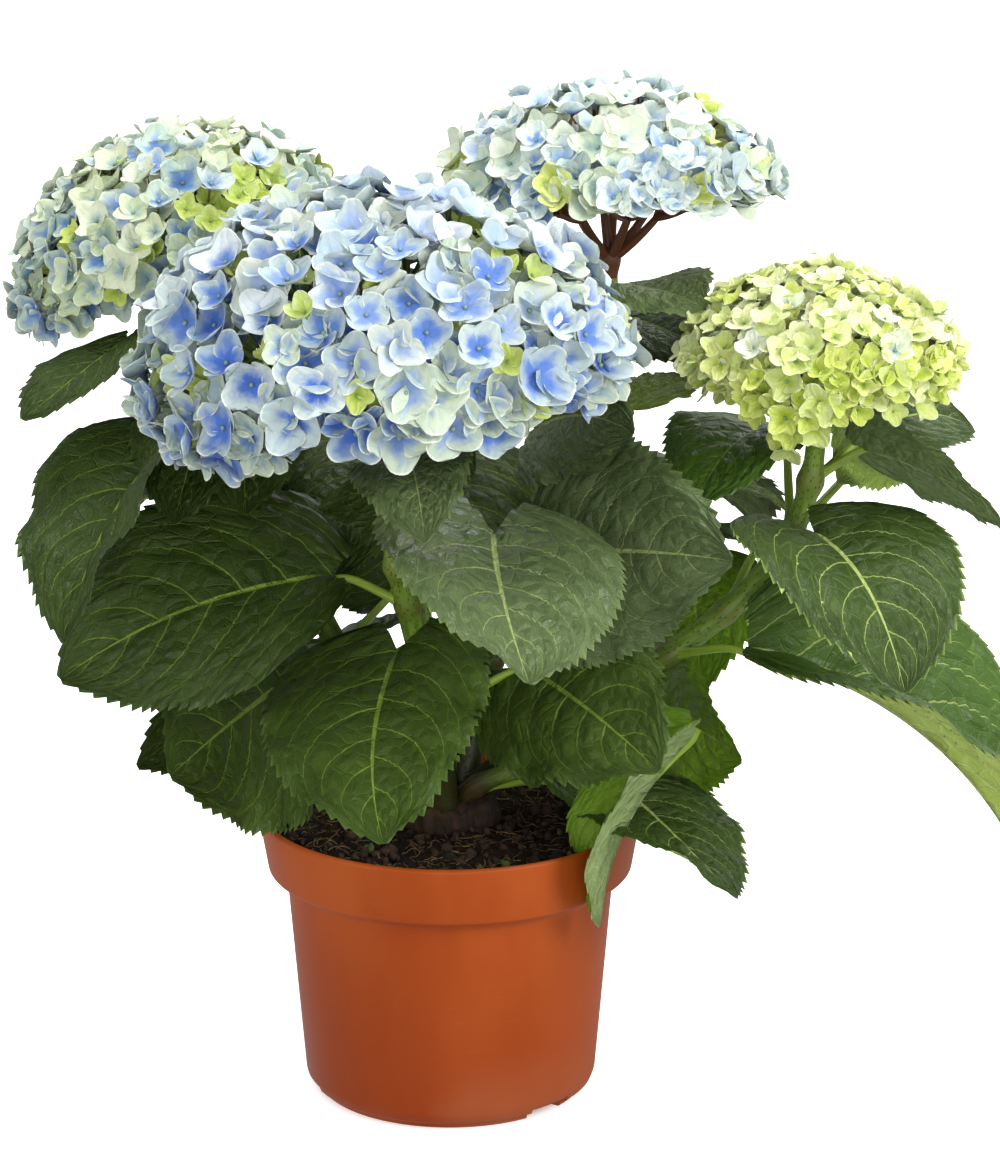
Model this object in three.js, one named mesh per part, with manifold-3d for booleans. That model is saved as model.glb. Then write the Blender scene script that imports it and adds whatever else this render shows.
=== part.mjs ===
// A potted mophead hydrangea: a plastic nursery pot filled with peat, one woody crown, six canes,
// four flower heads and broad toothed leaves on stalks.
// Millimetres, +Z up, the origin at the middle of the pot's flat underside. Turns are degrees from +X
// towards +Y, and rises are degrees above the level.

import * as THREE from "three";
import { mergeVertices } from "three/addons/utils/BufferGeometryUtils.js";
import Module from "manifold-3d";

const wasm = await Module();
wasm.setup();

// ---------------------------------------------------------------- driving sizes

const clear = 0.3; // gap kept between neighbouring solids

const pot = {
  height: 106,
  rimRadius: 70,
  bandHeight: 22, // deep rim band, drawn in a little at its lower edge
  bandDraft: 3.8,
  wallTopRadius: 59.5,
  wallFootRadius: 53.2,
  footRadius: 48.6,
  footWidth: 5,
  footLift: 2.6, // the base between its foot ring and its middle pad stands this high
  padRadius: 12,
  wall: 1.7,
  floor: 5,
  notches: [45, 165, 285], // drain notches cut through the foot ring, turned from the front
  notchWidth: 17,
  notchHeight: 4.6,
  sides: 36,
};

const peat = { depthBelowRim: 5, lump: 1.3 };

const crown = { radius: 19, topRadius: 17, top: 112, sides: 16 };

// Each head is a dome over an umbrella of rays. Its centre is the middle of its widest level, and it
// leans by `lean` degrees towards `to`.
const heads = {
  front: {
    centre: [-21, -64, 285], half: [88, 67], rise: 67, under: 27, lean: 8, to: 262,
    drop: 38, florets: 50, floretWidth: 30, rays: 7, reach: 105, colour: "#8fa6dc",
  },
  left: {
    centre: [-99, 46, 302], half: [63, 54], rise: 47, under: 27, lean: 18, to: 180,
    drop: 34, florets: 37, floretWidth: 22.5, rays: 6, reach: 110, colour: "#a9bfc6",
  },
  back: {
    centre: [60, 55, 321], half: [61, 52], rise: 42, under: 12, lean: 5, to: 330,
    drop: 30, florets: 33, floretWidth: 23, rays: 7, reach: 96, colour: "#b4c8cf",
  },
  right: {
    centre: [132, 0, 270], half: [51, 47], rise: 38, under: 29, lean: 3, to: 330,
    drop: 28, florets: 36, floretWidth: 18.5, rays: 6, reach: 112, colour: "#cfdc8c",
  },
};

// Canes rise from a ring on the crown. A cane with a head ends under it, and a blind one at its own tip.
const canes = {
  front: { turn: 262, rise: 74, foot: 4.8, tip: 3.8, head: "front" },
  left: { turn: 185, rise: 60, foot: 4.6, tip: 3.4, head: "left" },
  back: { turn: 60, rise: 75, foot: 4.6, tip: 3.4, head: "back" },
  right: { turn: 5, rise: 38, foot: 4.8, tip: 3.6, head: "right" },
  low: { turn: 310, rise: 42, foot: 3.6, tip: 2.8, at: [52, -15, 136], tipTurn: 5, tipRise: 35 },
  rear: { turn: 118, rise: 75, foot: 4.2, tip: 3, at: [-12, 56, 236], tipTurn: 100, tipRise: 80 },
};
const caneRing = 12; // radius of the ring that the canes rise from
const caneSides = 7;
const caneSteps = 7;

const leafRule = {
  width: 0.78, // of the blade's length
  rise: 20,
  swing: 0,
  pitch: 5,
  droop: 35,
  roll: 0,
  twist: 0,
  veer: 0,
  lobe: 0.12, // how far the two lobes reach back past the stalk
  cup: 12,
  foldLeft: 0,
  foldRight: 0,
  stations: 6,
  thickness: 0.013, // of the blade's length, at the midrib
  stalkRadius: 1.8,
  seat: 0, // moves the stalk's end along itself, so that it meets the flats of the cane `clear` away
};

// Each leaf springs from a cane at a share `at` of its length. The stalk leaves towards `turn` at `rise`,
// and the blade goes on from its end, swung sideways, pitched, drooping and rolled about its midrib.
const leaves = {
  leaf_front_left: { cane: "front", at: 0.63, turn: 194, rise: 25, stalk: 22, swing: -15, blade: 105,
    width: 0.92, pitch: -6, droop: 32, roll: 17, twist: 47, lobe: 0.08 },
  leaf_far_left: { cane: "left", at: 0.71, turn: 236, rise: 25, stalk: 50, blade: 95,
    width: 0.76, pitch: -17, droop: 36, roll: -38, twist: -3, veer: 16, foldRight: 44 },
  leaf_low_left: { cane: "left", at: 0.12, turn: 144, rise: 27, stalk: 31, swing: 101, blade: 104,
    width: 0.95, pitch: -2, droop: 7, roll: -108, twist: -6 },
  leaf_low_front: { cane: "front", at: 0.45, turn: 237, rise: 25, stalk: 7, swing: 16, blade: 101,
    width: 0.80, pitch: -24, droop: -2, roll: -12, twist: 7, veer: 30, lobe: 0.17 },
  leaf_low_right: { cane: "front", at: 0.27, turn: 2, rise: 25, stalk: 32, swing: -63, blade: 91,
    pitch: -2, droop: 11, roll: -53, twist: 13, lobe: 0.26 },
  leaf_front: { cane: "front", at: 0.75, turn: 326, rise: 24, stalk: 41, swing: -55, blade: 101,
    width: 0.84, pitch: -7, droop: 13, roll: 8, twist: 11, veer: 12, lobe: 0.45 },
  leaf_front_right: { cane: "back", at: 0.39, turn: 281, rise: 25, stalk: 56, swing: 26, blade: 104,
    width: 0.80, pitch: 16, droop: 9, roll: -73, twist: -4 },
  leaf_rim_right: { cane: "low", at: 0.62, turn: 10, rise: -22, stalk: 25, swing: -71, blade: 77,
    pitch: -10, droop: 6, roll: 14, twist: 10, foldLeft: -9, foldRight: -7, lobe: 0.07 },
  leaf_side_right: { cane: "low", at: 0.50, turn: 50, rise: 1, stalk: 62, swing: -114, blade: 75,
    width: 0.79, pitch: 19, droop: 28, roll: -76, twist: -24 },
  leaf_pale_right: { cane: "back", at: 0.45, turn: 35, rise: -12, stalk: 71, swing: -123, blade: 67,
    pitch: -16, droop: 33, roll: -2, twist: -15 },
  leaf_heart_right: { cane: "right", at: 0.77, turn: 285, rise: 24, stalk: 35, swing: 12, blade: 83,
    width: 0.97, pitch: -1, droop: 56, roll: -1, twist: -2, veer: -8, lobe: 0.50 },
  leaf_arching: { cane: "right", at: 0.46, turn: 322, rise: 14, stalk: 28, swing: 43, blade: 130,
    width: 0.63, pitch: -13, droop: 52, roll: 9, twist: 3, foldRight: 51, lobe: 0.04, seat: -1.3 },
  leaf_lime_left: { cane: "right", at: 0.82, turn: 96, rise: 32, stalk: 45, swing: 142, blade: 65,
    width: 0.91, pitch: 16, droop: 63, roll: -3, twist: 8 },
  leaf_lime_right: { cane: "right", at: 0.93, turn: 6, rise: 26, stalk: 17, swing: -55, blade: 72,
    width: 0.59, pitch: 2, droop: 28, roll: 53, seat: -1.3 },
  leaf_lime_rear: { cane: "right", at: 0.92, turn: 40, rise: 25, stalk: 32, swing: 3, blade: 55,
    width: 0.75, pitch: 11, droop: 44, roll: -27, twist: -8, seat: -1.3 },
  leaf_back_right: { cane: "back", at: 0.97, turn: 303, rise: 20, stalk: 9, swing: -3, blade: 53,
    pitch: 11, droop: 17, roll: 8, twist: -45 },
  leaf_under_left: { cane: "left", at: 0.95, turn: 236, rise: 21, stalk: 50, swing: -9, blade: 54,
    width: 0.75, pitch: -20, droop: 5, roll: -20, twist: 32 },
  leaf_over_rim: { cane: "low", at: 0.60, turn: 311, rise: 6, stalk: 23, swing: -51, blade: 74,
    width: 0.72, pitch: 25, droop: 144, roll: -63, twist: -56,
    foldLeft: -45, foldRight: 8, lobe: 0.16, seat: -0.6 },
  leaf_under_front: { cane: "front", at: 0.93, turn: 290, rise: 49, stalk: 19, swing: -13, blade: 60,
    width: 0.71, pitch: 8, droop: 46, roll: -15, twist: 1, seat: -1.5 },
  leaf_under_right: { cane: "back", at: 0.64, turn: 257, rise: 25, stalk: 52, swing: 43, blade: 70,
    width: 0.75, pitch: 30, droop: 37, roll: -62, twist: -11 },
  leaf_middle_left: { cane: "left", at: 0.31, turn: 59, rise: 29, stalk: 40, swing: 173, blade: 72,
    width: 0.76, pitch: 50, droop: 51, roll: -95, twist: -1 },
  leaf_tip_left: { cane: "front", at: 0.74, turn: 62, rise: 25, stalk: 41, swing: 160, blade: 64,
    pitch: 19, droop: 31, roll: -72, twist: 23 },
  leaf_low_middle: { cane: "back", at: 0.31, turn: 284, rise: 24, stalk: 31, swing: -42, blade: 50,
    width: 0.75, pitch: 16, droop: 51, roll: -88, twist: 11 },
  leaf_behind_right: { cane: "back", at: 0.85, turn: 52, rise: 17, stalk: 21, swing: -110, blade: 49,
    width: 0.79, pitch: 2, droop: 13, roll: -6, twist: -38 },
  leaf_behind_low: { cane: "back", at: 0.69, turn: 298, rise: 25, stalk: 44, swing: 108, blade: 37,
    width: 0.76, pitch: 19, droop: 30, roll: -2, twist: -7 },
  leaf_lime_under: { cane: "right", at: 0.78, turn: 59, rise: 20, stalk: 68, swing: -166, blade: 56,
    width: 0.81, pitch: 22, droop: 51, roll: 43, twist: 26, seat: -0.6 },
  leaf_bud_right: { cane: "back", at: 0.50, turn: 357, rise: 14, stalk: 66, swing: 4, blade: 30,
    width: 0.55, pitch: -12, droop: 36, thickness: 0.03, stalkRadius: 1.2 },
  leaf_low_rear: { cane: "left", at: 0.09, turn: 132, rise: -3, stalk: 69, swing: 95, blade: 66,
    width: 0.65, pitch: 14, droop: 39, roll: 71, twist: 12 },
  leaf_on_soil: { cane: "low", at: 0.08, turn: 16, rise: -2, stalk: 23, swing: -70, blade: 35,
    width: 0.76, pitch: -3, droop: 38, roll: 26, twist: -7 },
  leaf_rear_top: { cane: "rear", at: 0.94, turn: 75, rise: 30, stalk: 24, blade: 84,
    pitch: 0, droop: 45, seat: -0.6 },
  leaf_rear_high: { cane: "rear", at: 0.79, turn: 145, rise: 33, stalk: 35, swing: -5, blade: 93,
    pitch: 1, droop: 31, roll: 2, twist: -2 },
  leaf_rear_middle: { cane: "rear", at: 0.52, turn: 96, rise: 20, stalk: 36, blade: 98,
    pitch: -8, droop: 40 },
  leaf_rear_low: { cane: "rear", at: 0.24, turn: 130, rise: 12, stalk: 40, blade: 96,
    pitch: -14, droop: 34 },
  leaf_back_high: { cane: "back", at: 0.80, turn: 95, rise: 22, stalk: 30, blade: 86,
    pitch: -4, droop: 42, seat: -0.8 },
  leaf_back_middle: { cane: "back", at: 0.50, turn: 48, rise: 20, stalk: 38, blade: 98,
    pitch: -6, droop: 40, seat: -0.7 },
  leaf_back_low: { cane: "back", at: 0.23, turn: 63, rise: 7, stalk: 40, blade: 90,
    pitch: -11, droop: 32, roll: -1 },
  leaf_left_rear: { cane: "left", at: 0.55, turn: 138, rise: 20, stalk: 34, blade: 94,
    pitch: -8, droop: 38, seat: -1 },
  leaf_left_high: { cane: "left", at: 0.88, turn: 140, rise: 15, stalk: 30, blade: 76,
    pitch: -6, droop: 42, seat: -1.1 },
  leaf_right_rear: { cane: "right", at: 0.60, turn: 66, rise: 24, stalk: 34, blade: 92,
    pitch: -8, droop: 38, seat: -0.7 },
};

const colours = { pot: "#a4522c", soil: "#2a1c14", wood: "#6b5a3c", cane: "#6f8a3c", leaf: "#2f5a26" };

// ---------------------------------------------------------------- helpers

const radians = THREE.MathUtils.degToRad;

function heading(turn, rise) {
  const level = Math.cos(radians(rise));
  return new THREE.Vector3(
    level * Math.cos(radians(turn)),
    level * Math.sin(radians(turn)),
    Math.sin(radians(rise)),
  );
}

// A closed three.js geometry as a solid for joining and cutting.
function solidOf(geometry) {
  const bare = geometry.clone();
  bare.deleteAttribute("normal");
  bare.deleteAttribute("uv");
  const merged = mergeVertices(bare, 1e-3);
  return new wasm.Manifold(
    new wasm.Mesh({
      numProp: 3,
      vertProperties: merged.attributes.position.array,
      triVerts: new Uint32Array(merged.index.array),
    }),
  );
}

function geometryOf(solid) {
  const mesh = solid.getMesh();
  return new THREE.BufferGeometry()
    .setAttribute("position", new THREE.BufferAttribute(mesh.vertProperties, 3))
    .setIndex(new THREE.BufferAttribute(mesh.triVerts, 1));
}

function faceted(points, faces) {
  const flat = points.flatMap((p) => [p.x, p.y, p.z]);
  return new THREE.BufferGeometry()
    .setAttribute("position", new THREE.Float32BufferAttribute(flat, 3))
    .setIndex(faces.flat());
}

// A round limb along a curve, its radius running from `foot` to `tip`, closed at both ends.
function limb(curve, foot, tip, sides, steps) {
  const frames = curve.computeFrenetFrames(steps, false);
  const points = [];
  for (let i = 0; i <= steps; i++) {
    const middle = curve.getPointAt(i / steps);
    const radius = THREE.MathUtils.lerp(foot, tip, i / steps);
    for (let k = 0; k < sides; k++) {
      const angle = (2 * Math.PI * k) / sides;
      points.push(
        middle
          .clone()
          .addScaledVector(frames.normals[i], radius * Math.cos(angle))
          .addScaledVector(frames.binormals[i], radius * Math.sin(angle)),
      );
    }
  }
  const faces = [];
  for (let i = 0; i < steps; i++) {
    for (let k = 0; k < sides; k++) {
      const a = i * sides + k;
      const b = i * sides + ((k + 1) % sides);
      faces.push([a, b, b + sides], [a, b + sides, a + sides]);
    }
  }
  const last = steps * sides;
  for (let k = 1; k < sides - 1; k++) {
    faces.push([0, k + 1, k], [last, last + k, last + k + 1]);
  }
  return faceted(points, faces);
}

// Repeatable random numbers from 0 to 1.
function seeded(seed) {
  let state = seed;
  return () => {
    state = (state * 1664525 + 1013904223) % 4294967296;
    return state / 4294967296;
  };
}

// ---------------------------------------------------------------- pot, peat and crown

const bandFoot = pot.height - pot.bandHeight;
const soilTop = pot.height - peat.depthBelowRim;

// A turned piece from its half outline of [radius, height] pairs, from the axis round to the axis.
function turned(outline, sides) {
  const profile = outline.map(([r, z]) => new THREE.Vector2(r, z));
  return new THREE.LatheGeometry(profile, sides).rotateX(Math.PI / 2);
}

function potGeometry() {
  const rim = pot.rimRadius;
  const band = rim - pot.bandDraft;
  const outline = [
    [0, 0],
    [pot.padRadius, 0],
    [pot.padRadius + 0.6, pot.footLift],
    [pot.footRadius - pot.footWidth, pot.footLift],
    [pot.footRadius - pot.footWidth + 0.4, 0],
    [pot.footRadius, 0],
    [pot.footRadius + 0.4, 2],
    [pot.wallFootRadius - 1.4, 3],
    [pot.wallFootRadius, 6.4],
    [pot.wallTopRadius, bandFoot - 4],
    [pot.wallTopRadius + 2.2, bandFoot - 1.4],
    [band - 1, bandFoot - 0.3],
    [band + 0.1, bandFoot + 0.8],
    [rim - 0.2, pot.height - 1],
    [rim - 1, pot.height],
    [rim - 2, pot.height],
    [rim - pot.wall - 0.9, pot.height - 1.2],
    [band - pot.wall, bandFoot + 1.6],
    [pot.wallTopRadius - pot.wall, bandFoot - 2.6],
    [pot.wallFootRadius - pot.wall - 0.3, pot.floor + 2],
    [pot.wallFootRadius - pot.wall - 2, pot.floor],
    [0, pot.floor],
  ];
  let solid = solidOf(turned(outline, pot.sides));
  const notch = new THREE.BoxGeometry(pot.footWidth * 2.4, pot.notchWidth, pot.notchHeight * 2);
  for (const turn of pot.notches) {
    const cut = notch.clone().translate(pot.footRadius, 0, 0).rotateZ(radians(turn - 90));
    solid = solid.subtract(solidOf(cut));
  }
  return geometryOf(solid);
}

// Peat fills the pot to just under the rim, lumpy on top and level round the crown.
function rootBallGeometry() {
  const slope = (pot.wallTopRadius - pot.wallFootRadius) / (bandFoot - 4 - 6.4);
  const inner = pot.wallFootRadius - pot.wall - 0.3 - clear;
  const outline = [
    [0, pot.floor + clear],
    [inner - 2, pot.floor + clear],
    [inner - 0.2, pot.floor + 2.2],
    [inner + slope * (bandFoot - 12), bandFoot - 3],
    [pot.rimRadius - pot.bandDraft - pot.wall - 0.7, bandFoot + 3],
    [pot.rimRadius - pot.wall - 2.2, soilTop - 1],
    [52, soilTop + 0.4],
    [37, soilTop + 0.2],
    [crown.radius + 4, soilTop],
    [0, soilTop],
  ];
  const geometry = turned(outline, pot.sides);
  const place = geometry.attributes.position;
  for (let i = 0; i < place.count; i++) {
    const x = place.getX(i);
    const y = place.getY(i);
    const r = Math.hypot(x, y);
    if (place.getZ(i) > soilTop - 2 && r > crown.radius + 5) {
      const lump = Math.sin(x * 0.31 + y * 0.17) * Math.cos(y * 0.27 - x * 0.11);
      place.setZ(i, place.getZ(i) + peat.lump * lump);
    }
  }
  return geometry;
}

function crownGeometry() {
  return turned(
    [
      [0, soilTop + clear],
      [crown.radius, soilTop + clear],
      [crown.radius + 0.6, soilTop + 3],
      [crown.topRadius + 0.6, crown.top - 2],
      [crown.topRadius - 1, crown.top],
      [0, crown.top],
    ],
    crown.sides,
  );
}

// ---------------------------------------------------------------- canes

const headAxis = (head) => heading(head.to, 90 - head.lean);

const headFoot = (head) =>
  new THREE.Vector3(...head.centre).addScaledVector(headAxis(head), -head.drop);

function caneCurve(cane) {
  const start = heading(cane.turn, 0).multiplyScalar(caneRing);
  start.z = crown.top + clear + cane.foot * Math.cos(radians(cane.rise));
  const head = heads[cane.head];
  const axis = head ? headAxis(head) : heading(cane.tipTurn, cane.tipRise);
  const end = head ? headFoot(head).addScaledVector(axis, -clear) : new THREE.Vector3(...cane.at);
  const span = start.distanceTo(end);
  return new THREE.CubicBezierCurve3(
    start,
    start.clone().addScaledVector(heading(cane.turn, cane.rise), 0.4 * span),
    end.clone().addScaledVector(axis, -0.36 * span),
    end,
  );
}

const caneGeometry = (cane) => limb(caneCurve(cane), cane.foot, cane.tip, caneSides, caneSteps);

// ---------------------------------------------------------------- flower heads

const coreWall = 5;

// A point on a head's dome, in the head's own frame, `inset` below its surface.
function domePoint(head, polar, turn, inset) {
  const across = head.half[0] - inset;
  const deep = head.half[1] - inset;
  const high = (polar < 90 ? head.rise : head.under) - inset;
  const level = Math.sin(radians(polar));
  return new THREE.Vector3(
    across * level * Math.cos(radians(turn)),
    deep * level * Math.sin(radians(turn)),
    high * Math.cos(radians(polar)),
  );
}

// How far below the dome's surface the core that carries the florets lies.
const coreInset = (head) => 0.27 * head.floretWidth;

// The umbrella that the florets stand out of: a dome shell, open below.
function headCore(head) {
  const inset = coreInset(head);
  const edge = head.reach - 8;
  const outline = [];
  for (let i = 0; i <= 6; i++) {
    const p = domePoint(head, (edge * i) / 6, 0, inset);
    outline.unshift([p.x, p.z]);
  }
  const inner = [];
  for (let i = 0; i <= 4; i++) {
    const p = domePoint(head, (edge * i) / 4, 0, inset + coreWall);
    inner.push([p.x, p.z]);
  }
  const width = head.half[0] - inset;
  const depth = head.half[1] - inset;
  return turned([...inner, ...outline], 18).scale(1, depth / width, 1);
}

// Four broad sepals in one shallow cup on a three-sided stalk that is sunk in the core.
function floretSolid(head, polar, turn, spin) {
  const width = head.floretWidth;
  const middle = domePoint(head, polar, turn, 0);
  const [across, deep] = head.half;
  const out = new THREE.Vector3(
    middle.x / across ** 2,
    middle.y / deep ** 2,
    middle.z / head.rise ** 2,
  ).normalize();
  const side = new THREE.Vector3(0, 0, 1).cross(out);
  if (side.length() < 0.01) side.set(1, 0, 0);
  side.normalize();
  const over = out.clone().cross(side);
  const spot = (radius, angle, height) =>
    middle
      .clone()
      .addScaledVector(side, radius * Math.cos(angle))
      .addScaledVector(over, radius * Math.sin(angle))
      .addScaledVector(out, height);
  const rootPolar = Math.min(polar, head.reach - 13);
  const root = domePoint(head, rootPolar, turn, coreInset(head) + coreWall / 2);
  const eye = 0;
  const rim = 1; // the first of eight points round the cup: four sepal tips and the notches between
  const neck = 9; // the first of three points where the stalk leaves the cup
  const stalkEnd = 12;
  const points = [spot(0, 0, -0.1 * width)];
  for (let k = 0; k < 8; k++) {
    const isTip = k % 2 === 0;
    const radius = (isTip ? 0.5 : 0.36) * width;
    points.push(spot(radius, spin + (k * Math.PI) / 4, isTip ? 0 : -0.05 * width));
  }
  for (let k = 0; k < 3; k++) {
    points.push(spot(0.07 * width, spin + (k * 2 * Math.PI) / 3, -0.17 * width));
  }
  points.push(root);
  const neckBy = (k) => neck + (Math.floor((k * 3) / 8 + 0.2) % 3);
  const faces = [];
  for (let k = 0; k < 8; k++) {
    const now = rim + k;
    const next = rim + ((k + 1) % 8);
    faces.push([eye, now, next], [next, now, neckBy(k)]);
    if (neckBy(k) !== neckBy(k + 1)) faces.push([next, neckBy(k), neckBy(k + 1)]);
  }
  for (let k = 0; k < 3; k++) faces.push([neck + k, stalkEnd, neck + ((k + 1) % 3)]);
  return solidOf(faceted(points, faces));
}

function headGeometry(head, seed) {
  const random = seeded(seed);
  let solid = solidOf(headCore(head));
  const join = (geometry) => {
    solid = solid.add(solidOf(geometry));
  };
  const sunk = coreInset(head) + coreWall / 2;
  const foot = new THREE.Vector3(0, 0, -head.drop);
  const hub = new THREE.Vector3(0, 0, 9 - head.drop);
  const top = new THREE.Vector3(0, 0, head.rise - sunk);
  const above = (height) => foot.clone().setZ(foot.z + height);
  join(limb(new THREE.LineCurve3(foot, hub), 3.8, 3.4, caneSides, 1));
  join(limb(new THREE.LineCurve3(above(3), top), 2.6, 1.6, 5, 1));
  for (let i = 0; i < head.rays; i++) {
    const turn = (360 * (i + 0.3 * random())) / head.rays;
    const end = domePoint(head, 58 + 8 * random(), turn, sunk);
    const bend = hub.clone().lerp(end, 0.5).setZ(hub.z + 0.35 * (end.z - hub.z));
    join(limb(new THREE.QuadraticBezierCurve3(above(5), bend, end), 2.3, 1.4, 4, 3));
  }
  const golden = 180 * (3 - Math.sqrt(5));
  const lowest = Math.cos(radians(head.reach));
  for (let i = 0; i < head.florets; i++) {
    const level = 1 - ((1 - lowest) * (i + 0.5)) / head.florets;
    const polar = THREE.MathUtils.radToDeg(Math.acos(level));
    solid = solid.add(floretSolid(head, polar, (i * golden) % 360, random() * Math.PI));
  }
  const axis = headAxis(head);
  const side = new THREE.Vector3(0, 1, 0).cross(axis).normalize();
  const place = new THREE.Matrix4().makeBasis(side, axis.clone().cross(side), axis);
  place.setPosition(...head.centre);
  return geometryOf(solid).applyMatrix4(place);
}

// ---------------------------------------------------------------- leaves

// Half the blade's width along its length: broadest a third of the way up, drawn out to a point.
function bladeHalfWidth(t) {
  const peak = (0.45 - 0.85 * 0.045) / 1.3;
  const shape = (s) => (s + 0.045) ** 0.45 * (1 - s) ** 0.85;
  return (0.5 * shape(t)) / shape(peak);
}

function leafGeometry(row) {
  const leaf = { ...leafRule, ...row };
  const cane = canes[leaf.cane];
  const curve = caneCurve(cane);
  const out = heading(leaf.turn, leaf.rise);
  const along = Math.abs(curve.getTangentAt(leaf.at).dot(out));
  const caneRadius = THREE.MathUtils.lerp(cane.foot, cane.tip, leaf.at);
  const standOff = (caneRadius + clear + leaf.stalkRadius * along) / Math.sqrt(1 - along ** 2);
  const root = curve.getPointAt(leaf.at).addScaledVector(out, standOff + leaf.seat);
  const base = root.clone().addScaledVector(out, leaf.stalk);

  const headingAt = (t) =>
    heading(leaf.turn + leaf.swing + leaf.veer * t, leaf.pitch - leaf.droop * t);
  const pieces = leaf.stations * 6;
  const midrib = [base.clone()];
  for (let i = 0; i < pieces; i++) {
    const step = headingAt((i + 0.5) / pieces).multiplyScalar(leaf.blade / pieces);
    midrib.push(midrib[i].clone().add(step));
  }

  // A point of the blade: t from base to tip, v from -1 at the left margin to 1 at the right. The two
  // halves are cupped upwards and folded by their own angles, and curl over a little at the margin.
  const bladePoint = (t, v, grow = 1, sink = 0) => {
    const forward = headingAt(t);
    const azimuth = radians(leaf.turn + leaf.swing + leaf.veer * t);
    const right = new THREE.Vector3(Math.sin(azimuth), -Math.cos(azimuth), 0);
    right.applyAxisAngle(forward, -radians(leaf.roll + leaf.twist * t));
    const normal = right.clone().cross(forward);
    const half = leaf.blade * leaf.width * bladeHalfWidth(t) * grow;
    const cup = radians(leaf.cup + (v < 0 ? leaf.foldLeft : leaf.foldRight));
    const lobed = 1.6 * Math.abs(v) ** 1.1 * (1 - 0.55 * v * v);
    const back = leaf.lobe * leaf.blade * lobed * (1 - t) ** 3;
    return midrib[Math.round(t * pieces)]
      .clone()
      .addScaledVector(forward, -back)
      .addScaledVector(right, half * v * Math.cos(cup))
      .addScaledVector(normal, half * (Math.abs(v) * Math.sin(cup) - 0.1 * v * v) - sink);
  };

  const points = [];
  const faces = [];
  const put = (p) => points.push(p) - 1;
  const keelDepth = leaf.thickness * leaf.blade;
  const rows = [];
  for (let i = 0; i < leaf.stations; i++) {
    const t = i / leaf.stations;
    const half = (i + 0.5) / leaf.stations;
    rows.push({
      top: [-1, -0.5, 0, 0.5, 1].map((v) => put(bladePoint(t, v, Math.abs(v) === 1 ? 0.97 : 1))),
      keel: put(bladePoint(t, 0, 1, keelDepth)),
      teeth: [-1, 1].map((v) => put(bladePoint(half, v, 1.05))),
    });
  }
  const tip = put(bladePoint(1, 0));
  rows.forEach((now, i) => {
    const next = rows[i + 1];
    const [a, b, c, d, e] = now.top;
    const [toothLeft, toothRight] = now.teeth;
    if (!next) {
      faces.push([a, toothLeft, b], [toothLeft, tip, b], [b, tip, c], [c, tip, d]);
      faces.push([d, tip, toothRight], [d, toothRight, e]);
      faces.push([now.keel, toothLeft, a], [now.keel, tip, toothLeft]);
      faces.push([now.keel, e, toothRight], [now.keel, toothRight, tip]);
      return;
    }
    const [a2, b2, c2, d2, e2] = next.top;
    faces.push([a, toothLeft, b], [toothLeft, b2, b], [toothLeft, a2, b2]);
    faces.push([b, b2, c], [b2, c2, c], [c, c2, d], [c2, d2, d]);
    faces.push([d, toothRight, e], [d, d2, toothRight], [d2, e2, toothRight]);
    faces.push([now.keel, toothLeft, a], [now.keel, next.keel, toothLeft], [next.keel, a2, toothLeft]);
    faces.push([now.keel, e, toothRight], [now.keel, toothRight, next.keel]);
    faces.push([next.keel, toothRight, e2]);
  });
  const [a, b, c, d, e] = rows[0].top;
  const keel = rows[0].keel;
  faces.push([keel, a, b], [keel, b, c], [keel, c, d], [keel, d, e]);
  const blade = solidOf(faceted(points, faces.map((face) => face.reverse())));

  const sunk = bladePoint(1 / leaf.stations, 0, 1, 0.7 * keelDepth + 0.4); // just under the midrib
  const stalk = new THREE.CubicBezierCurve3(
    root,
    root.clone().addScaledVector(out, 0.4 * leaf.stalk),
    base.clone().addScaledVector(headingAt(0), -0.3 * leaf.stalk),
    sunk,
  );
  return geometryOf(blade.add(solidOf(limb(stalk, leaf.stalkRadius, 0.9, 4, 3))));
}

// ---------------------------------------------------------------- the plant

const plant = new THREE.Group();

function add(name, geometry, colour, roughness) {
  const material = new THREE.MeshStandardMaterial({ color: colour, roughness, metalness: 0 });
  const mesh = new THREE.Mesh(geometry, material);
  mesh.name = name;
  plant.add(mesh);
}

add("pot", potGeometry(), colours.pot, 0.45);
add("root_ball", rootBallGeometry(), colours.soil, 1);
add("crown", crownGeometry(), colours.wood, 0.9);
for (const [name, cane] of Object.entries(canes)) {
  add(`cane_${name}`, caneGeometry(cane), colours.cane, 0.6);
}
Object.entries(heads).forEach(([name, head], i) => {
  add(`bloom_${name}`, headGeometry(head, 11 + i), head.colour, 0.8);
});
for (const [name, row] of Object.entries(leaves)) {
  add(name, leafGeometry(row), colours.leaf, 0.55);
}

export default plant;
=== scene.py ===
from functools import partial
from math import pi, sqrt

import bpy
import numpy as np
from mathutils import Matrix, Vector, noise


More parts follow.
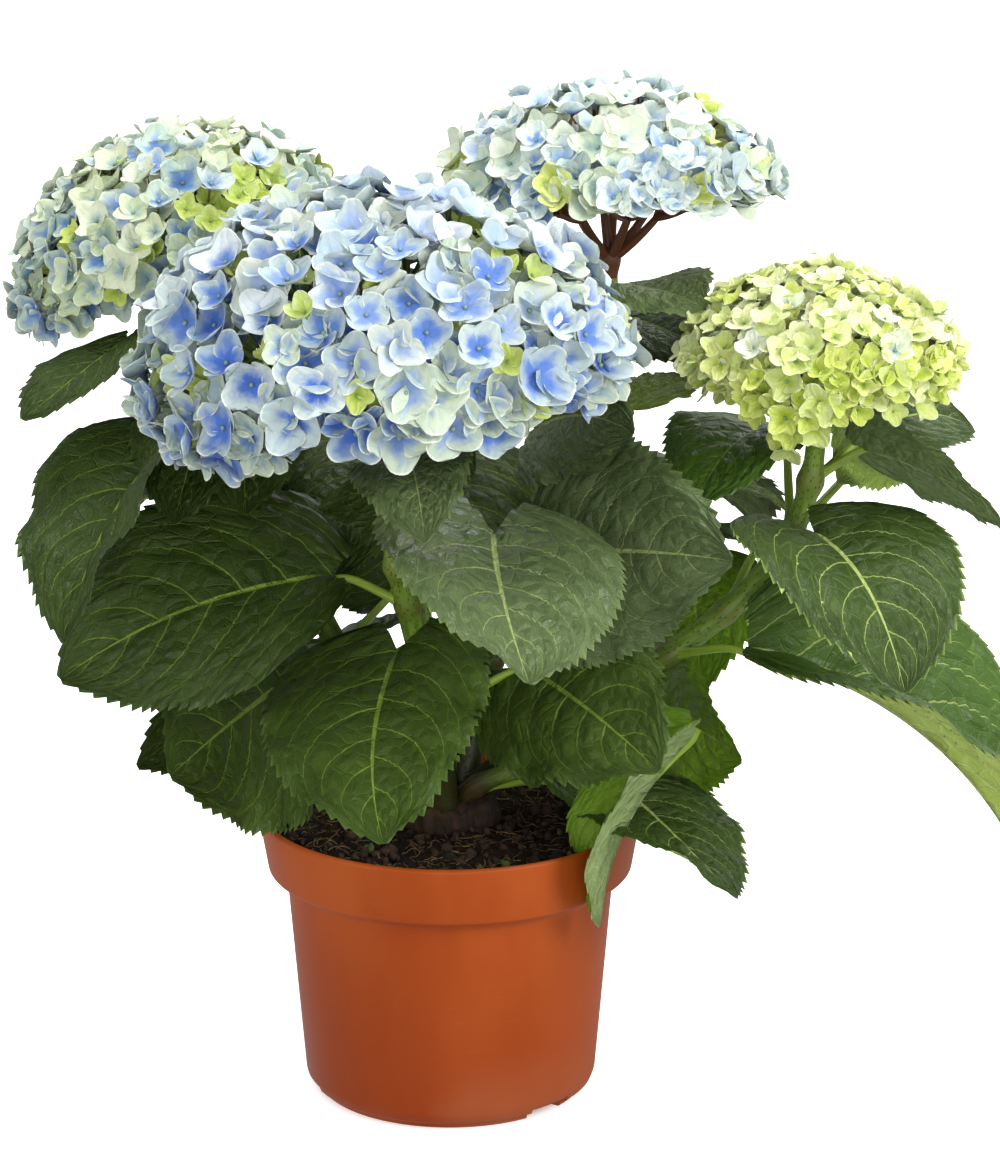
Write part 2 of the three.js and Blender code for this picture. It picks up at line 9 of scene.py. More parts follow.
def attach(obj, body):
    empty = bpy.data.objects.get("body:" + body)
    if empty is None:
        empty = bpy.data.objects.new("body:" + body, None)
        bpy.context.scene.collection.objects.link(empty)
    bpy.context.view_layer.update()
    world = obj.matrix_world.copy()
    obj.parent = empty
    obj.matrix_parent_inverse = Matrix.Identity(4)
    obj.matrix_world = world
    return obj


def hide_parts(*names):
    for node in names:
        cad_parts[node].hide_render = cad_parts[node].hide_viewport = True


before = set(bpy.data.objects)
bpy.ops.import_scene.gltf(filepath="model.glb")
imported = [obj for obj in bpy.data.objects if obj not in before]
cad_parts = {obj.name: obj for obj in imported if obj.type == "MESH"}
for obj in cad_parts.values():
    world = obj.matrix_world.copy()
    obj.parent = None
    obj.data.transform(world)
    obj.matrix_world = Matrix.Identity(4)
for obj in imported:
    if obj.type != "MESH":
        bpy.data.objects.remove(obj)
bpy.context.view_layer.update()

mm = 0.001
print("frame loaded:", len(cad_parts), "nodes")


# curves, grids and nodes

def heading(turn, rise):
    turn, rise = np.broadcast_arrays(np.radians(turn), np.radians(rise))
    return np.stack([np.cos(rise) * np.cos(turn), np.cos(rise) * np.sin(turn), np.sin(rise)], -1)


def unit(vectors):
    vectors = np.asarray(vectors, float)
    return vectors / np.maximum(np.linalg.norm(vectors, axis=-1, keepdims=True), 1e-12)


def softStep(low, high, x):
    x = np.clip((x - low) / (high - low), 0, 1)
    return x * x * (3 - 2 * x)


def onCurve(handles, shares):
    # points of a Bezier curve of two, three or four handles, at shares of its length
    s = np.linspace(0, 1, 201)[:, None]
    layers = [np.asarray(h, float)[None, :] for h in handles]
    while len(layers) > 1:
        layers = [a * (1 - s) + b * s for a, b in zip(layers, layers[1:])]
    points = layers[0]
    length = np.append(0, np.cumsum(np.linalg.norm(np.diff(points, axis=0), axis=1)))
    return np.stack([np.interp(shares, length / length[-1], points[:, i]) for i in range(3)], -1)


def newPile():
    return {"points": [], "faces": [], "uvs": [], "marks": [], "count": 0}


def addGrid(pile, points, uvs, flip=False, marks=None):
    rows, columns = points.shape[:2]
    number = pile["count"] + np.arange(rows * columns).reshape(rows, columns)
    corners = [number[:-1, :-1], number[:-1, 1:], number[1:, 1:], number[1:, :-1]]
    if flip:
        corners.reverse()
    pile["faces"].append(np.stack(corners, -1).reshape(-1, 4))
    pile["points"].append(points.reshape(-1, 3))
    pile["uvs"].append(np.asarray(uvs, float).reshape(-1, 2))
    pile["marks"].append(np.zeros(rows * columns) if marks is None else np.ravel(marks))
    pile["count"] += rows * columns


def gridUvs(box, rows, columns):
    left, low, right, high = box
    across = np.linspace(left, right, columns)[None, :] * np.ones((rows, 1))
    up = np.linspace(low, high, rows)[:, None] * np.ones((1, columns))
    return np.stack([across, up], -1)


def addTube(pile, path, radii, sides, uvBox, marks=None):
    # a round limb along a path, its rings carried along without twist and closed at both ends
    path = np.asarray(path, float)
    radii = np.broadcast_to(radii, len(path)).astype(float)
    ahead = unit(np.gradient(path, axis=0))
    normal = np.cross(ahead[0], (0, 0, 1) if abs(ahead[0][2]) < 0.9 else (1, 0, 0))
    normals = []
    for direction in ahead:
        normal = unit(normal - direction * np.dot(normal, direction))
        normals.append(normal)
    normals = np.array(normals)
    across = np.cross(ahead, normals)
    turn = np.linspace(0, 2 * pi, sides + 1)
    ring = normals[:, None] * np.cos(turn)[None, :, None] + across[:, None] * np.sin(turn)[None, :, None]
    points = path[:, None] + ring * radii[:, None, None]
    caps = [np.broadcast_to(end, points[:1].shape) for end in (path[0], path[-1])]
    points = np.concatenate([caps[0], points, caps[1]])
    if marks is not None:
        marks = np.repeat(np.concatenate([marks[:1], marks, marks[-1:]])[:, None], sides + 1, 1)
    addGrid(pile, points, gridUvs(uvBox, len(points), sides + 1), marks=marks)


def makePiece(name, pile, material, nodes):
    points = np.concatenate(pile["points"]) * mm
    faces = np.concatenate(pile["faces"]).astype(np.int32)
    mesh = bpy.data.meshes.new(name)
    mesh.vertices.add(len(points))
    mesh.vertices.foreach_set("co", points.astype(np.float32).ravel())
    mesh.loops.add(faces.size)
    mesh.loops.foreach_set("vertex_index", faces.ravel())
    mesh.polygons.add(len(faces))
    mesh.polygons.foreach_set("loop_start", np.arange(0, faces.size, 4, dtype=np.int32))
    mesh.update(calc_edges=True)
    mesh.polygons.foreach_set("use_smooth", np.ones(len(faces), bool))
    layer = mesh.uv_layers.new(name="OFBake")
    uvs = np.concatenate(pile["uvs"])
    layer.uv.foreach_set("vector", uvs[faces.ravel()].astype(np.float32).ravel())
    marks = np.concatenate(pile["marks"])
    if marks.any():
        mesh.attributes.new("mark", "FLOAT", "POINT").data.foreach_set("value", marks.astype(np.float32))
    mesh.validate()
    piece = bpy.data.objects.new(name, mesh)
    bpy.context.scene.collection.objects.link(piece)
    piece.data.materials.append(material)
    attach(piece, "root")
    if nodes:
        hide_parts(*nodes)
    print(name, len(faces) * 2, "triangles")
    return piece


def linear(hexColour):
    # sRGB hex to linear
    parts = [int(hexColour[i:i + 2], 16) / 255 for i in (1, 3, 5)]
    return tuple(c / 12.92 if c <= 0.04045 else ((c + 0.055) / 1.055) ** 2.4 for c in parts) + (1.0,)


def feed(tree, socket, value):
    # a value is another node's socket, a hex colour or what the input takes as it is
    if isinstance(value, bpy.types.NodeSocket):
        tree.links.new(value, socket)
    else:
        socket.default_value = linear(value) if isinstance(value, str) else value


# the setting that stands after the dot in a kind of node, where it isn't the operation
nodeChoices = {"Mix": "data_type", "MapRange": "interpolation_type"}


def addNode(tree, kind, *values, out=0, **named):
    # values feed the inputs in use in their order, and each named one feeds an input or changes a setting
    kind, dot, choice = kind.partition(".")
    node = tree.nodes.new("ShaderNode" + kind)
    if choice:
        setattr(node, nodeChoices.get(kind, "operation"), choice)
    for key in [key for key in named if key not in node.inputs]:
        setattr(node, key, named.pop(key))
    for socket, value in zip([socket for socket in node.inputs if socket.enabled], values):
        feed(tree, socket, value)
    for key, value in named.items():
        feed(tree, node.inputs[key], value)
    if isinstance(out, str):
        return node.outputs[out]
    shown = [socket for socket in node.outputs if socket.enabled]
    return shown if out is None else shown[out]


def newMaterial(name):
    # a material, and the function that adds nodes to it
    material = bpy.data.materials.new(name)
    material.use_nodes = True
    return material, partial(addNode, material.node_tree)


def setSurface(material, values):
    tree = material.node_tree
    shader = next(node for node in tree.nodes if node.type == "BSDF_PRINCIPLED")
    for key, value in values.items():
        feed(tree, shader.inputs[key], value)
    return material


# pot: injection-moulded polypropylene, terracotta-coloured

pot = {
    "height": 106, "rimRadius": 70, "bandHeight": 22, "bandDraft": 3.8,
    "wallTopRadius": 59.5, "wallFootRadius": 53.2, "footRadius": 48.6, "footWidth": 5,
    "footLift": 2.6, "padRadius": 12, "wall": 1.7, "floor": 5,
    "notches": [45, 165, 285], "notchWidth": 17, "notchHeight": 4.6,
    "round": 0.9,  # radius of the moulded edges
    "columns": 180, "rowHeight": 7, "sharpFrom": 60,
    # the foot colour is painted shade: the body darkens to it towards the bottom
    "colour": "#a4450f", "light": "#b4531b", "foot": "#8c3408", "dust": "#c28a62",
}


def rounded(outline, radius):
    # every corner of an outline turned into a small arc
    outline = np.asarray(outline, float)
    points = [outline[0]]
    for before, corner, after in zip(outline, outline[1:], outline[2:]):
        back, on = before - corner, after - corner
        reach = min(radius, 0.42 * np.linalg.norm(back), 0.42 * np.linalg.norm(on))
        start, end = corner + unit(back) * reach, corner + unit(on) * reach
        for s in (0, 0.33, 0.67, 1):
            points.append((1 - s) ** 2 * start + 2 * s * (1 - s) * corner + s * s * end)
    return np.array(points + [outline[-1]])


def turnedPoints(outline, turns):
    turns = np.radians(turns)[None, :]
    outline = np.asarray(outline, float)
    return np.stack([
        outline[:, :1] * np.cos(turns),
        outline[:, :1] * np.sin(turns),
        outline[:, 1:] * np.ones_like(turns),
    ], -1)


def potMaterial(shape):
    # satin moulded plastic: even colour, a soft sheen, faint flow streaks, scuffs on the edges, dust low
    # down, and painted shade that darkens the body towards the foot
    material, add = newMaterial("moulded polypropylene, satin terracotta")
    place = add("TexCoord", out="Object")
    parts = add("SeparateXYZ", place, out=None)
    streaks = add("TexNoise", add("Mapping", place, Scale=(28, 28, 9)), Scale=1, Detail=4)
    broad = add("TexNoise", place, Scale=14, Detail=2)
    grain = add("TexNoise", place, Scale=1400, Detail=2)
    scratches = add("TexNoise", add("Mapping", place, Scale=(60, 60, 900)), Scale=1, Detail=6,
                    Roughness=0.7)
    mottle = add("MapRange.SMOOTHSTEP", streaks, 0.35, 0.7)
    body = add("Mix.RGBA", mottle, shape["colour"], shape["light"])
    # painted shade: the body darkens towards the foot of the pot
    body = add("Mix.RGBA", add("MapRange", parts[2], 0.1, 0.0, 0, 0.8), body, shape["foot"])
    low = add("MapRange", parts[2], 0.03, 0.0)
    lip = add("MapRange", parts[2], 0.1035, 0.1062)
    ledge = add("MapRange", broad, 0.5, 0.75)
    wear = add("Math.MULTIPLY", add("Math.ADD", low, lip), ledge)
    marks = add("MapRange", scratches, 0.62, 0.72, 0, 0.35)
    worn = add("Math.MULTIPLY", add("Math.ADD", wear, marks, use_clamp=True), 0.32)
    colour = add("Mix.RGBA", worn, body, shape["dust"])
    rough = add("MapRange", streaks, 0.3, 0.7, 0.36, 0.5)
    rough = add("Math.ADD", rough, worn, use_clamp=True)
    bump = add("Bump", Strength=0.12, Distance=0.0002, Height=grain)
    wave = add("Bump", Strength=0.25, Distance=0.002, Height=broad, Normal=bump)
    return setSurface(material, {
        "Base Color": colour, "Roughness": rough, "IOR": 1.49, "Specular IOR Level": 0.2, "Normal": wave,
    })


def makePot(shape):
    rim = shape["rimRadius"]
    band = rim - shape["bandDraft"]
    bandFoot = shape["height"] - shape["bandHeight"]
    foot, wall, top = shape["footRadius"], shape["wall"], shape["wallTopRadius"]
    inner = shape["wallFootRadius"] - wall
    outline = rounded([
        (0, 0.0), (shape["padRadius"], 0), (shape["padRadius"] + 0.6, shape["footLift"]),
        (foot - shape["footWidth"], shape["footLift"]), (foot - shape["footWidth"] + 0.4, 0),
        (foot, 0), (foot + 0.4, 2), (shape["wallFootRadius"] - 1.4, 3), (shape["wallFootRadius"], 6.4),
        (top, bandFoot - 4), (top + 2.2, bandFoot - 1.4), (band - 1, bandFoot - 0.3),
        (band + 0.1, bandFoot + 0.8), (rim - 0.2, shape["height"] - 1), (rim - 1, shape["height"]),
        (rim - 2, shape["height"]), (rim - wall - 0.9, shape["height"] - 1.2),
        (band - wall, bandFoot + 1.6), (top - wall, bandFoot - 2.6), (inner - 0.3, shape["floor"] + 2),
        (inner - 2, shape["floor"]), (0, shape["floor"]),
    ], shape["round"])
    # long straights get a few more rows
    rows = [outline[0]]
    for start, end in zip(outline, outline[1:]):
        count = max(1, int(np.linalg.norm(end - start) / shape["rowHeight"]))
        rows += [start + (end - start) * k / count for k in range(1, count + 1)]
    rows = np.array(rows)
    half = np.degrees(np.arcsin(shape["notchWidth"] / 2 / foot))
    edges = [(turn - 90) % 360 + side * (half + slip)
             for turn in shape["notches"] for side in (-1, 1) for slip in (-0.04, 0.04)]
    turns = np.array(sorted(list(np.linspace(0, 360, shape["columns"] + 1)) + edges))
    points = turnedPoints(rows, turns)
    radius = rows[:, 0]
    near = (radius > foot - shape["footWidth"] * 1.2) & (rows[:, 1] < shape["notchHeight"])
    for turn in shape["notches"]:
        apart = np.abs((turns - (turn - 90) + 180) % 360 - 180)
        inNotch = near[:, None] & (apart < half)[None, :]
        points[..., 2] = np.where(inNotch, shape["notchHeight"], points[..., 2])
    pile = newPile()
    addGrid(pile, points, gridUvs((0.001, 0.001, 0.999, 0.999), *points.shape[:2]), flip=True)
    piece = makePiece("nurseryPot", pile, potMaterial(shape), ["pot"])
    sharp = piece.modifiers.new("edges", "EDGE_SPLIT")
    sharp.split_angle = np.radians(shape["sharpFrom"])
    return piece


# peat: dark fibrous potting peat

peat = {
    "depthBelowRim": 5, "relief": 1.8, "columns": 250, "rows": 84,
    "crumbs": 1100, "crumbLeast": 0.5, "crumbSpread": 1.9, "mossEvery": 23, "fibres": 300,
    "dark": "#170f07", "brown": "#3a2513", "crumbDark": "#1a110a", "crumbLight": "#44301e",
    "fibre": "#8f774c", "fibreDark": "#46331d", "moss": "#4f5c20", "mossDark": "#39441a",
}
soilTop = pot["height"] - peat["depthBelowRim"]
soilReach = pot["rimRadius"] - pot["wall"] - 1.6


def soilHeight(x, y):
    broad = noise.fractal(Vector((x * 0.05, y * 0.05, 3.1)), 0.8, 2.0, 2)
    fine = noise.fractal(Vector((x * 0.22, y * 0.22, 7.7)), 0.7, 2.1, 4)
    return soilTop + peat["relief"] * (0.75 * broad + 0.75 * fine)


def peatMaterial(name, dark, light, grainScale):
    # moist peat: nearly black brown, matt, with crumbs of half a millimetre to two millimetres
    material, add = newMaterial(name)
    place = add("TexCoord", out="Object")
    grain = add("TexNoise", place, Scale=grainScale, Detail=6, Roughness=0.75)
    patch = add("TexNoise", place, Scale=45, Detail=3)
    clods = add("TexVoronoi", place, Scale=grainScale * 0.8)
    share = add("MapRange", add("Math.MULTIPLY", grain, patch), 0.18, 0.42)
    colour = add("Mix.RGBA", share, dark, light)
    height = add("Math.SUBTRACT", grain, clods)
    bump = add("Bump", Strength=0.8, Distance=0.001, Height=height)
    return setSurface(material, {
        "Base Color": colour, "Roughness": 0.92, "Specular IOR Level": 0.25, "Normal": bump,
    })


def strandMaterial(name, light, dark, rough):
    # dry plant fibre: each strand between straw and brown by where it lies on the map
    material, add = newMaterial(name)
    shade = add("TexNoise", add("UVMap", uv_map="OFBake"), Scale=9, Detail=2)
    colour = add("Mix.RGBA", add("MapRange", shade, 0.35, 0.65), dark, light)
    return setSurface(material, {"Base Color": colour, "Roughness": rough})


def makePeat(shape):
    slope = (pot["wallTopRadius"] - pot["wallFootRadius"]) / (pot["height"] - pot["bandHeight"] - 10.4)
    bandFoot = pot["height"] - pot["bandHeight"]
    inner = pot["wallFootRadius"] - pot["wall"] - 0.7
    turns = np.linspace(0, 360, shape["columns"] + 1)
    radii = soilReach * np.linspace(0, 1, shape["rows"]) ** 0.85
    band = pot["rimRadius"] - pot["bandDraft"] - pot["wall"]
    side = [(soilReach - 0.6, soilTop - 4), (band - 0.9, bandFoot + 3),
            (inner + slope * (bandFoot - 12), bandFoot - 3), (inner - 0.2, pot["floor"] + 2.2),
            (inner - 2, pot["floor"] + 0.3), (0, pot["floor"] + 0.3)]
    top = turnedPoints([(r, 0) for r in radii], turns)
    for i in range(len(radii)):
        for k in range(len(turns) - 1):
            x, y = top[i, k, :2]
            top[i, k, 2] = soilHeight(x, y) - 0.8 * softStep(soilReach - 4, soilReach, radii[i])
    top[:, -1] = top[:, 0]
    points = np.concatenate([top, turnedPoints(side, turns)])
    # the map is the plan of the soil, and the hidden sides lie in a thin ring round it
    out = np.append(np.linspace(0, 0.46, shape["rows"]), np.linspace(0.462, 0.497, len(side)))
    around = np.radians(turns)[None, :]
    uvs = np.stack([0.5 + out[:, None] * np.cos(around), 0.5 + out[:, None] * np.sin(around)], -1)
    uvs[0] += 0.0005 * np.stack([np.cos(around[0]), np.sin(around[0])], -1)
    pile = newPile()
    addGrid(pile, points, uvs)
    makePiece("peatBed", pile, peatMaterial("moist potting peat", shape["dark"], shape["brown"], 700),
              ["root_ball"])

    random = np.random.default_rng(31)
    crumbs, fibres, mossBits = newPile(), newPile(), newPile()
    for k in range(shape["crumbs"]):
        r = soilReach * sqrt(random.uniform(0.04, 0.97))
        turn = random.uniform(0, 2 * pi)
        x, y = r * np.cos(turn), r * np.sin(turn)
        size = shape["crumbLeast"] + shape["crumbSpread"] * random.uniform() ** 3
        size = min(size, soilReach + 0.4 - r)
        polar = np.linspace(0, pi, 6)[:, None]
        around = np.linspace(0, 2 * pi, 8)[None, :]
        shell = np.stack([np.sin(polar) * np.cos(around), np.sin(polar) * np.sin(around),
                          np.cos(polar) * np.ones_like(around)], -1)
        bumps = 1 + 0.3 * np.sin(shell @ random.uniform(-4, 4, 3) + random.uniform(0, 6))
        shell = shell * bumps[..., None] * random.uniform(0.55, 1, 3) * size
        tone = random.uniform(0, 0.9, 2)
        uvs = gridUvs((*tone, *(tone + 0.1)), 6, 8)
        target = crumbs if k % shape["mossEvery"] else mossBits
        addGrid(target, shell + (x, y, soilHeight(x, y) + 0.25 * size), uvs, flip=True)
    for k in range(shape["fibres"]):
        r = (soilReach - 6) * sqrt(random.uniform(0.05, 1))
        turn, run = random.uniform(0, 2 * pi, 2)
        x, y = r * np.cos(turn), r * np.sin(turn)
        length = random.uniform(4, 13)
        bend = random.uniform(-0.9, 0.9)
        path = []
        for s in np.linspace(-0.5, 0.5, 7):
            px = x + length * s * np.cos(run + bend * s)
            py = y + length * s * np.sin(run + bend * s)
            far = np.hypot(px, py)
            if far > soilReach - 0.5:
                px, py = px * (soilReach - 0.5) / far, py * (soilReach - 0.5) / far
            path.append((px, py, soilHeight(px, py) + 0.15 + 1.1 * random.uniform() * (0.5 - abs(s))))
        tone = random.uniform(0, 0.9, 2)
        addTube(fibres, path, random.uniform(0.09, 0.26), 4, (*tone, *(tone + 0.1)))
    for name, pile, kind, light, dark, rough in (
        ("peatCrumbs", crumbs, "peat crumbs, moist", shape["crumbLight"], shape["crumbDark"], 0.95),
        ("mossBits", mossBits, "moss bits, soft", shape["moss"], shape["mossDark"], 0.95),
        ("peatFibres", fibres, "dry plant fibre", shape["fibre"], shape["fibreDark"], 0.8),
    ):
        makePiece(name, pile, strandMaterial(kind, light, dark, rough), [])


# crown and canes

crown = {
    "radius": 19, "topRadius": 17, "top": 112, "ridges": 17, "relief": 1.1,
    "stubs": [(35, 8, 5), (120, 9, 4.2), (222, 8.5, 4.6), (330, 7, 4), (150, 2, 4.8)],  # turn, out, height
    "bark": "#2a1c10", "pale": "#452f1c", "crack": "#120b06",
}
canes = {
    "front": {"turn": 262, "rise": 74, "foot": 4.8, "tip": 3.8, "head": "front"},
    "left": {"turn": 185, "rise": 60, "foot": 4.6, "tip": 3.4, "head": "left"},
    "back": {"turn": 60, "rise": 75, "foot": 4.6, "tip": 3.4, "head": "back"},
    "right": {"turn": 5, "rise": 38, "foot": 4.8, "tip": 3.6, "head": "right"},
    "low": {"turn": 310, "rise": 42, "foot": 3.6, "tip": 2.8,
            "at": (52, -15, 136), "tipTurn": 5, "tipRise": 35},
    "rear": {"turn": 118, "rise": 75, "foot": 4.2, "tip": 3,
             "at": (-12, 56, 236), "tipTurn": 100, "tipRise": 80},
}
caneLook = {
    "ring": 12, "clear": 0.3, "columns": 18, "rows": 150,
    "swell": 0.2,  # how much thicker the cane is at a leaf joint
    "swellLength": 4.5,
    # the brown at the canes' foot is woody bark and also painted shade low in the plant
    "green": "#5f8022", "pale": "#84a43a", "spot": "#4a231b", "blush": "#66382a", "wood": "#322c16",
}


def caneHandles(cane):
    start = heading(cane["turn"], 0) * caneLook["ring"]
    start[2] = crown["top"] + caneLook["clear"] + cane["foot"] * np.cos(np.radians(cane["rise"]))
    if "head" in cane:
        head = heads[cane["head"]]
        axis = headAxis(head)
        end = headFoot(head) - axis * caneLook["clear"]
    else:
        axis = heading(cane["tipTurn"], cane["tipRise"])
        end = np.array(cane["at"], float)
    span = np.linalg.norm(end - start)
    return [start, start + heading(cane["turn"], cane["rise"]) * 0.4 * span, end - axis * 0.36 * span, end]


def canePoint(cane, share):
    # place, direction and radius at a share of a cane's length
    a, place, b = onCurve(caneHandles(cane), [share - 0.004, share, min(share + 0.004, 1)])
    return place, unit(b - a), cane["foot"] + (cane["tip"] - cane["foot"]) * share


def barkMaterial(shape):
    # weathered bark: matt, ridged along the stem, cracked, straw-coloured where it flakes
    material, add = newMaterial("weathered bark, flaking")
    place = add("TexCoord", out="Object")
    long = add("Mapping", place, Scale=(420, 420, 90))
    ridges = add("TexNoise", long, Scale=1, Detail=5, Roughness=0.65)
    share = add("MapRange", add("TexNoise", place, Scale=160, Detail=3), 0.42, 0.62)
    body = add("Mix.RGBA", share, shape["bark"], shape["pale"])
    colour = add("Mix.RGBA", add("MapRange", ridges, 0.46, 0.36), body, shape["crack"])
    bump = add("Bump", Strength=0.9, Distance=0.0008, Height=ridges)
    return setSurface(material, {"Base Color": colour, "Roughness": 0.88, "Normal": bump})


def makeCrown(shape):
    turns = np.linspace(0, 360, 121)
    outline = rounded([(shape["radius"] - 1, soilTop - 1.5), (shape["radius"], soilTop + 1),
                       (shape["radius"] + 0.4, soilTop + 3), (shape["topRadius"] + 0.4, shape["top"] - 2.6),
                       (shape["topRadius"] - 3, shape["top"] - 0.8), (0.01, shape["top"] - 0.4)], 2)
    rows = []
    for start, end in zip(outline, outline[1:]):
        count = max(1, int(np.linalg.norm(end - start) / 1.2))
        rows += [start + (end - start) * k / count for k in range(count)]
    points = turnedPoints(rows + [outline[-1]], turns)
    angle = np.radians(turns)[None, :]
    radius = np.linalg.norm(points[..., :2], axis=-1, keepdims=True)
    ridge = np.sin(angle * shape["ridges"] + 2 * np.sin(angle * 3) + points[..., 2] * 0.35)
    knots = np.sin(angle * 5 + 1.3) * np.cos(points[..., 2] * 0.5 + angle * 2)
    move = (shape["relief"] * (0.5 * ridge + 0.6 * knots))[..., None]
    move = move * np.minimum(radius / shape["radius"], 1)
    points[..., :2] *= 1 - 0.04 + move / np.maximum(radius, 6)
    points[..., 2] += 0.5 * np.sin(radius[..., 0] * 0.9 + angle * 3) * (radius[..., 0] < 15)
    pile = newPile()
    addGrid(pile, points, gridUvs((0.01, 0.3, 0.99, 0.99), *points.shape[:2]))
    for i, (turn, out, high) in enumerate(shape["stubs"]):
        # stubs of last year's cut stems
        foot = heading(turn, 0) * out + (0, 0, shape["top"] - 4)
        tip = foot + heading(turn, 72) * (high + 3)
        path = onCurve([foot, tip], np.linspace(0, 1, 8))
        left = 0.02 + i * 0.19
        addTube(pile, path, [3.6, 3.1, 2.8, 2.7, 2.6, 2.6, 2.6, 2.4], 14, (left, 0.02, left + 0.17, 0.27))
    makePiece("woodyCrown", pile, barkMaterial(shape), ["crown"])


def caneMaterial(look):
    # young hydrangea bark: smooth satin green, corky dark red lenticels a millimetre or two long,
    # a reddish blush at the leaf joints, and brown wood at the foot, run far up as painted shade low in the
    # plant
    material, add = newMaterial("green cane bark, satin")
    place = add("UVMap", uv_map="OFBake")
    spots = add("Mapping", place, Scale=(150, 62, 1))
    dot = add("TexVoronoi", spots, Scale=1, voronoi_dimensions="2D", out=None)
    lenticel = add("MapRange", dot[0], 0.24, 0.1)
    shown = add("Math.GREATER_THAN", add("SeparateColor", dot[1]), 0.45)
    lenticel = add("Math.MULTIPLY", lenticel, shown)
    streak = add("TexNoise", add("Mapping", place, Scale=(90, 12, 1)), Scale=1, Detail=3)
    share = add("MapRange", streak, 0.35, 0.65)
    body = add("Mix.RGBA", share, look["green"], look["pale"])
    # brown wood at the foot of each cane, partly painted shade: it fades in from halfway down each cane
    woodAndShadeFoot = add("MapRange", add("SeparateXYZ", place, out=1), 0.5, 0.16, 0, 0.92)
    body = add("Mix.RGBA", woodAndShadeFoot, body, look["wood"])
    blush = add("Math.MULTIPLY", add("Attribute", attribute_name="mark", out="Fac"), share)
    body = add("Mix.RGBA", add("Math.MULTIPLY", blush, 0.6), body, look["blush"])
    colour = add("Mix.RGBA", lenticel, body, look["spot"])
    raised = add("Math.ADD", lenticel, streak)
    bump = add("Bump", Strength=0.5, Distance=0.0004, Height=raised)
    return setSurface(material, {"Base Color": colour, "Roughness": 0.48, "Normal": bump})


def makeCanes():
    pile = newPile()
    for i, (name, cane) in enumerate(canes.items()):
        shares = np.linspace(0, 1, caneLook["rows"])
        handles = caneHandles(cane)
        path = onCurve(handles, shares)
        length = np.linalg.norm(np.diff(path, axis=0), axis=1).sum()
        radii = cane["foot"] + (cane["tip"] - cane["foot"]) * shares
        marks = np.zeros(len(shares))
        joints = [row["at"] for row in leaves.values() if row["cane"] == name]
        for at in joints:
            near = np.exp(-((shares - at) * length / caneLook["swellLength"]) ** 2)
            radii = radii * (1 + caneLook["swell"] * near)
            marks = np.maximum(marks, near)
        down = path[:1] - unit(path[1:2] - path[:1]) * 5
        path = np.concatenate([down, path])
        radii = np.append(radii[0] * 1.15, radii)
        if "head" not in cane:
            # a cane with no head tapers to a bud
            radii[-4:] *= [0.95, 0.8, 0.6, 0.35]
        left = i / len(canes) + 0.004
        addTube(pile, path, radii, caneLook["columns"], (left, 0.005, left + 0.158, 0.995),
                marks=np.append(0, marks))
    makePiece("canes", pile, caneMaterial(caneLook), ["cane_" + name for name in canes])


# leaves

# Each leaf springs from a cane at a share of its length. The stalk leaves towards `turn` at `rise`, and the
# blade goes on from its end, swung sideways, pitched, drooping and rolled about its midrib.
leafColumns = ("cane", "at", "turn", "rise", "stalk", "swing", "blade", "width", "pitch", "droop", "roll",
               "twist")
leafRule = {"veer": 0, "lobe": 0.12, "cup": 12, "foldLeft": 0, "foldRight": 0, "stalkRadius": 1.8, "seat": 0}


def leafRows(table):
    # rows to dictionaries: the columns, and at the end of a row what departs from the rule
    return {name: {**leafRule, **dict(zip(leafColumns, row)), **row[-1]} for name, row in table.items()}


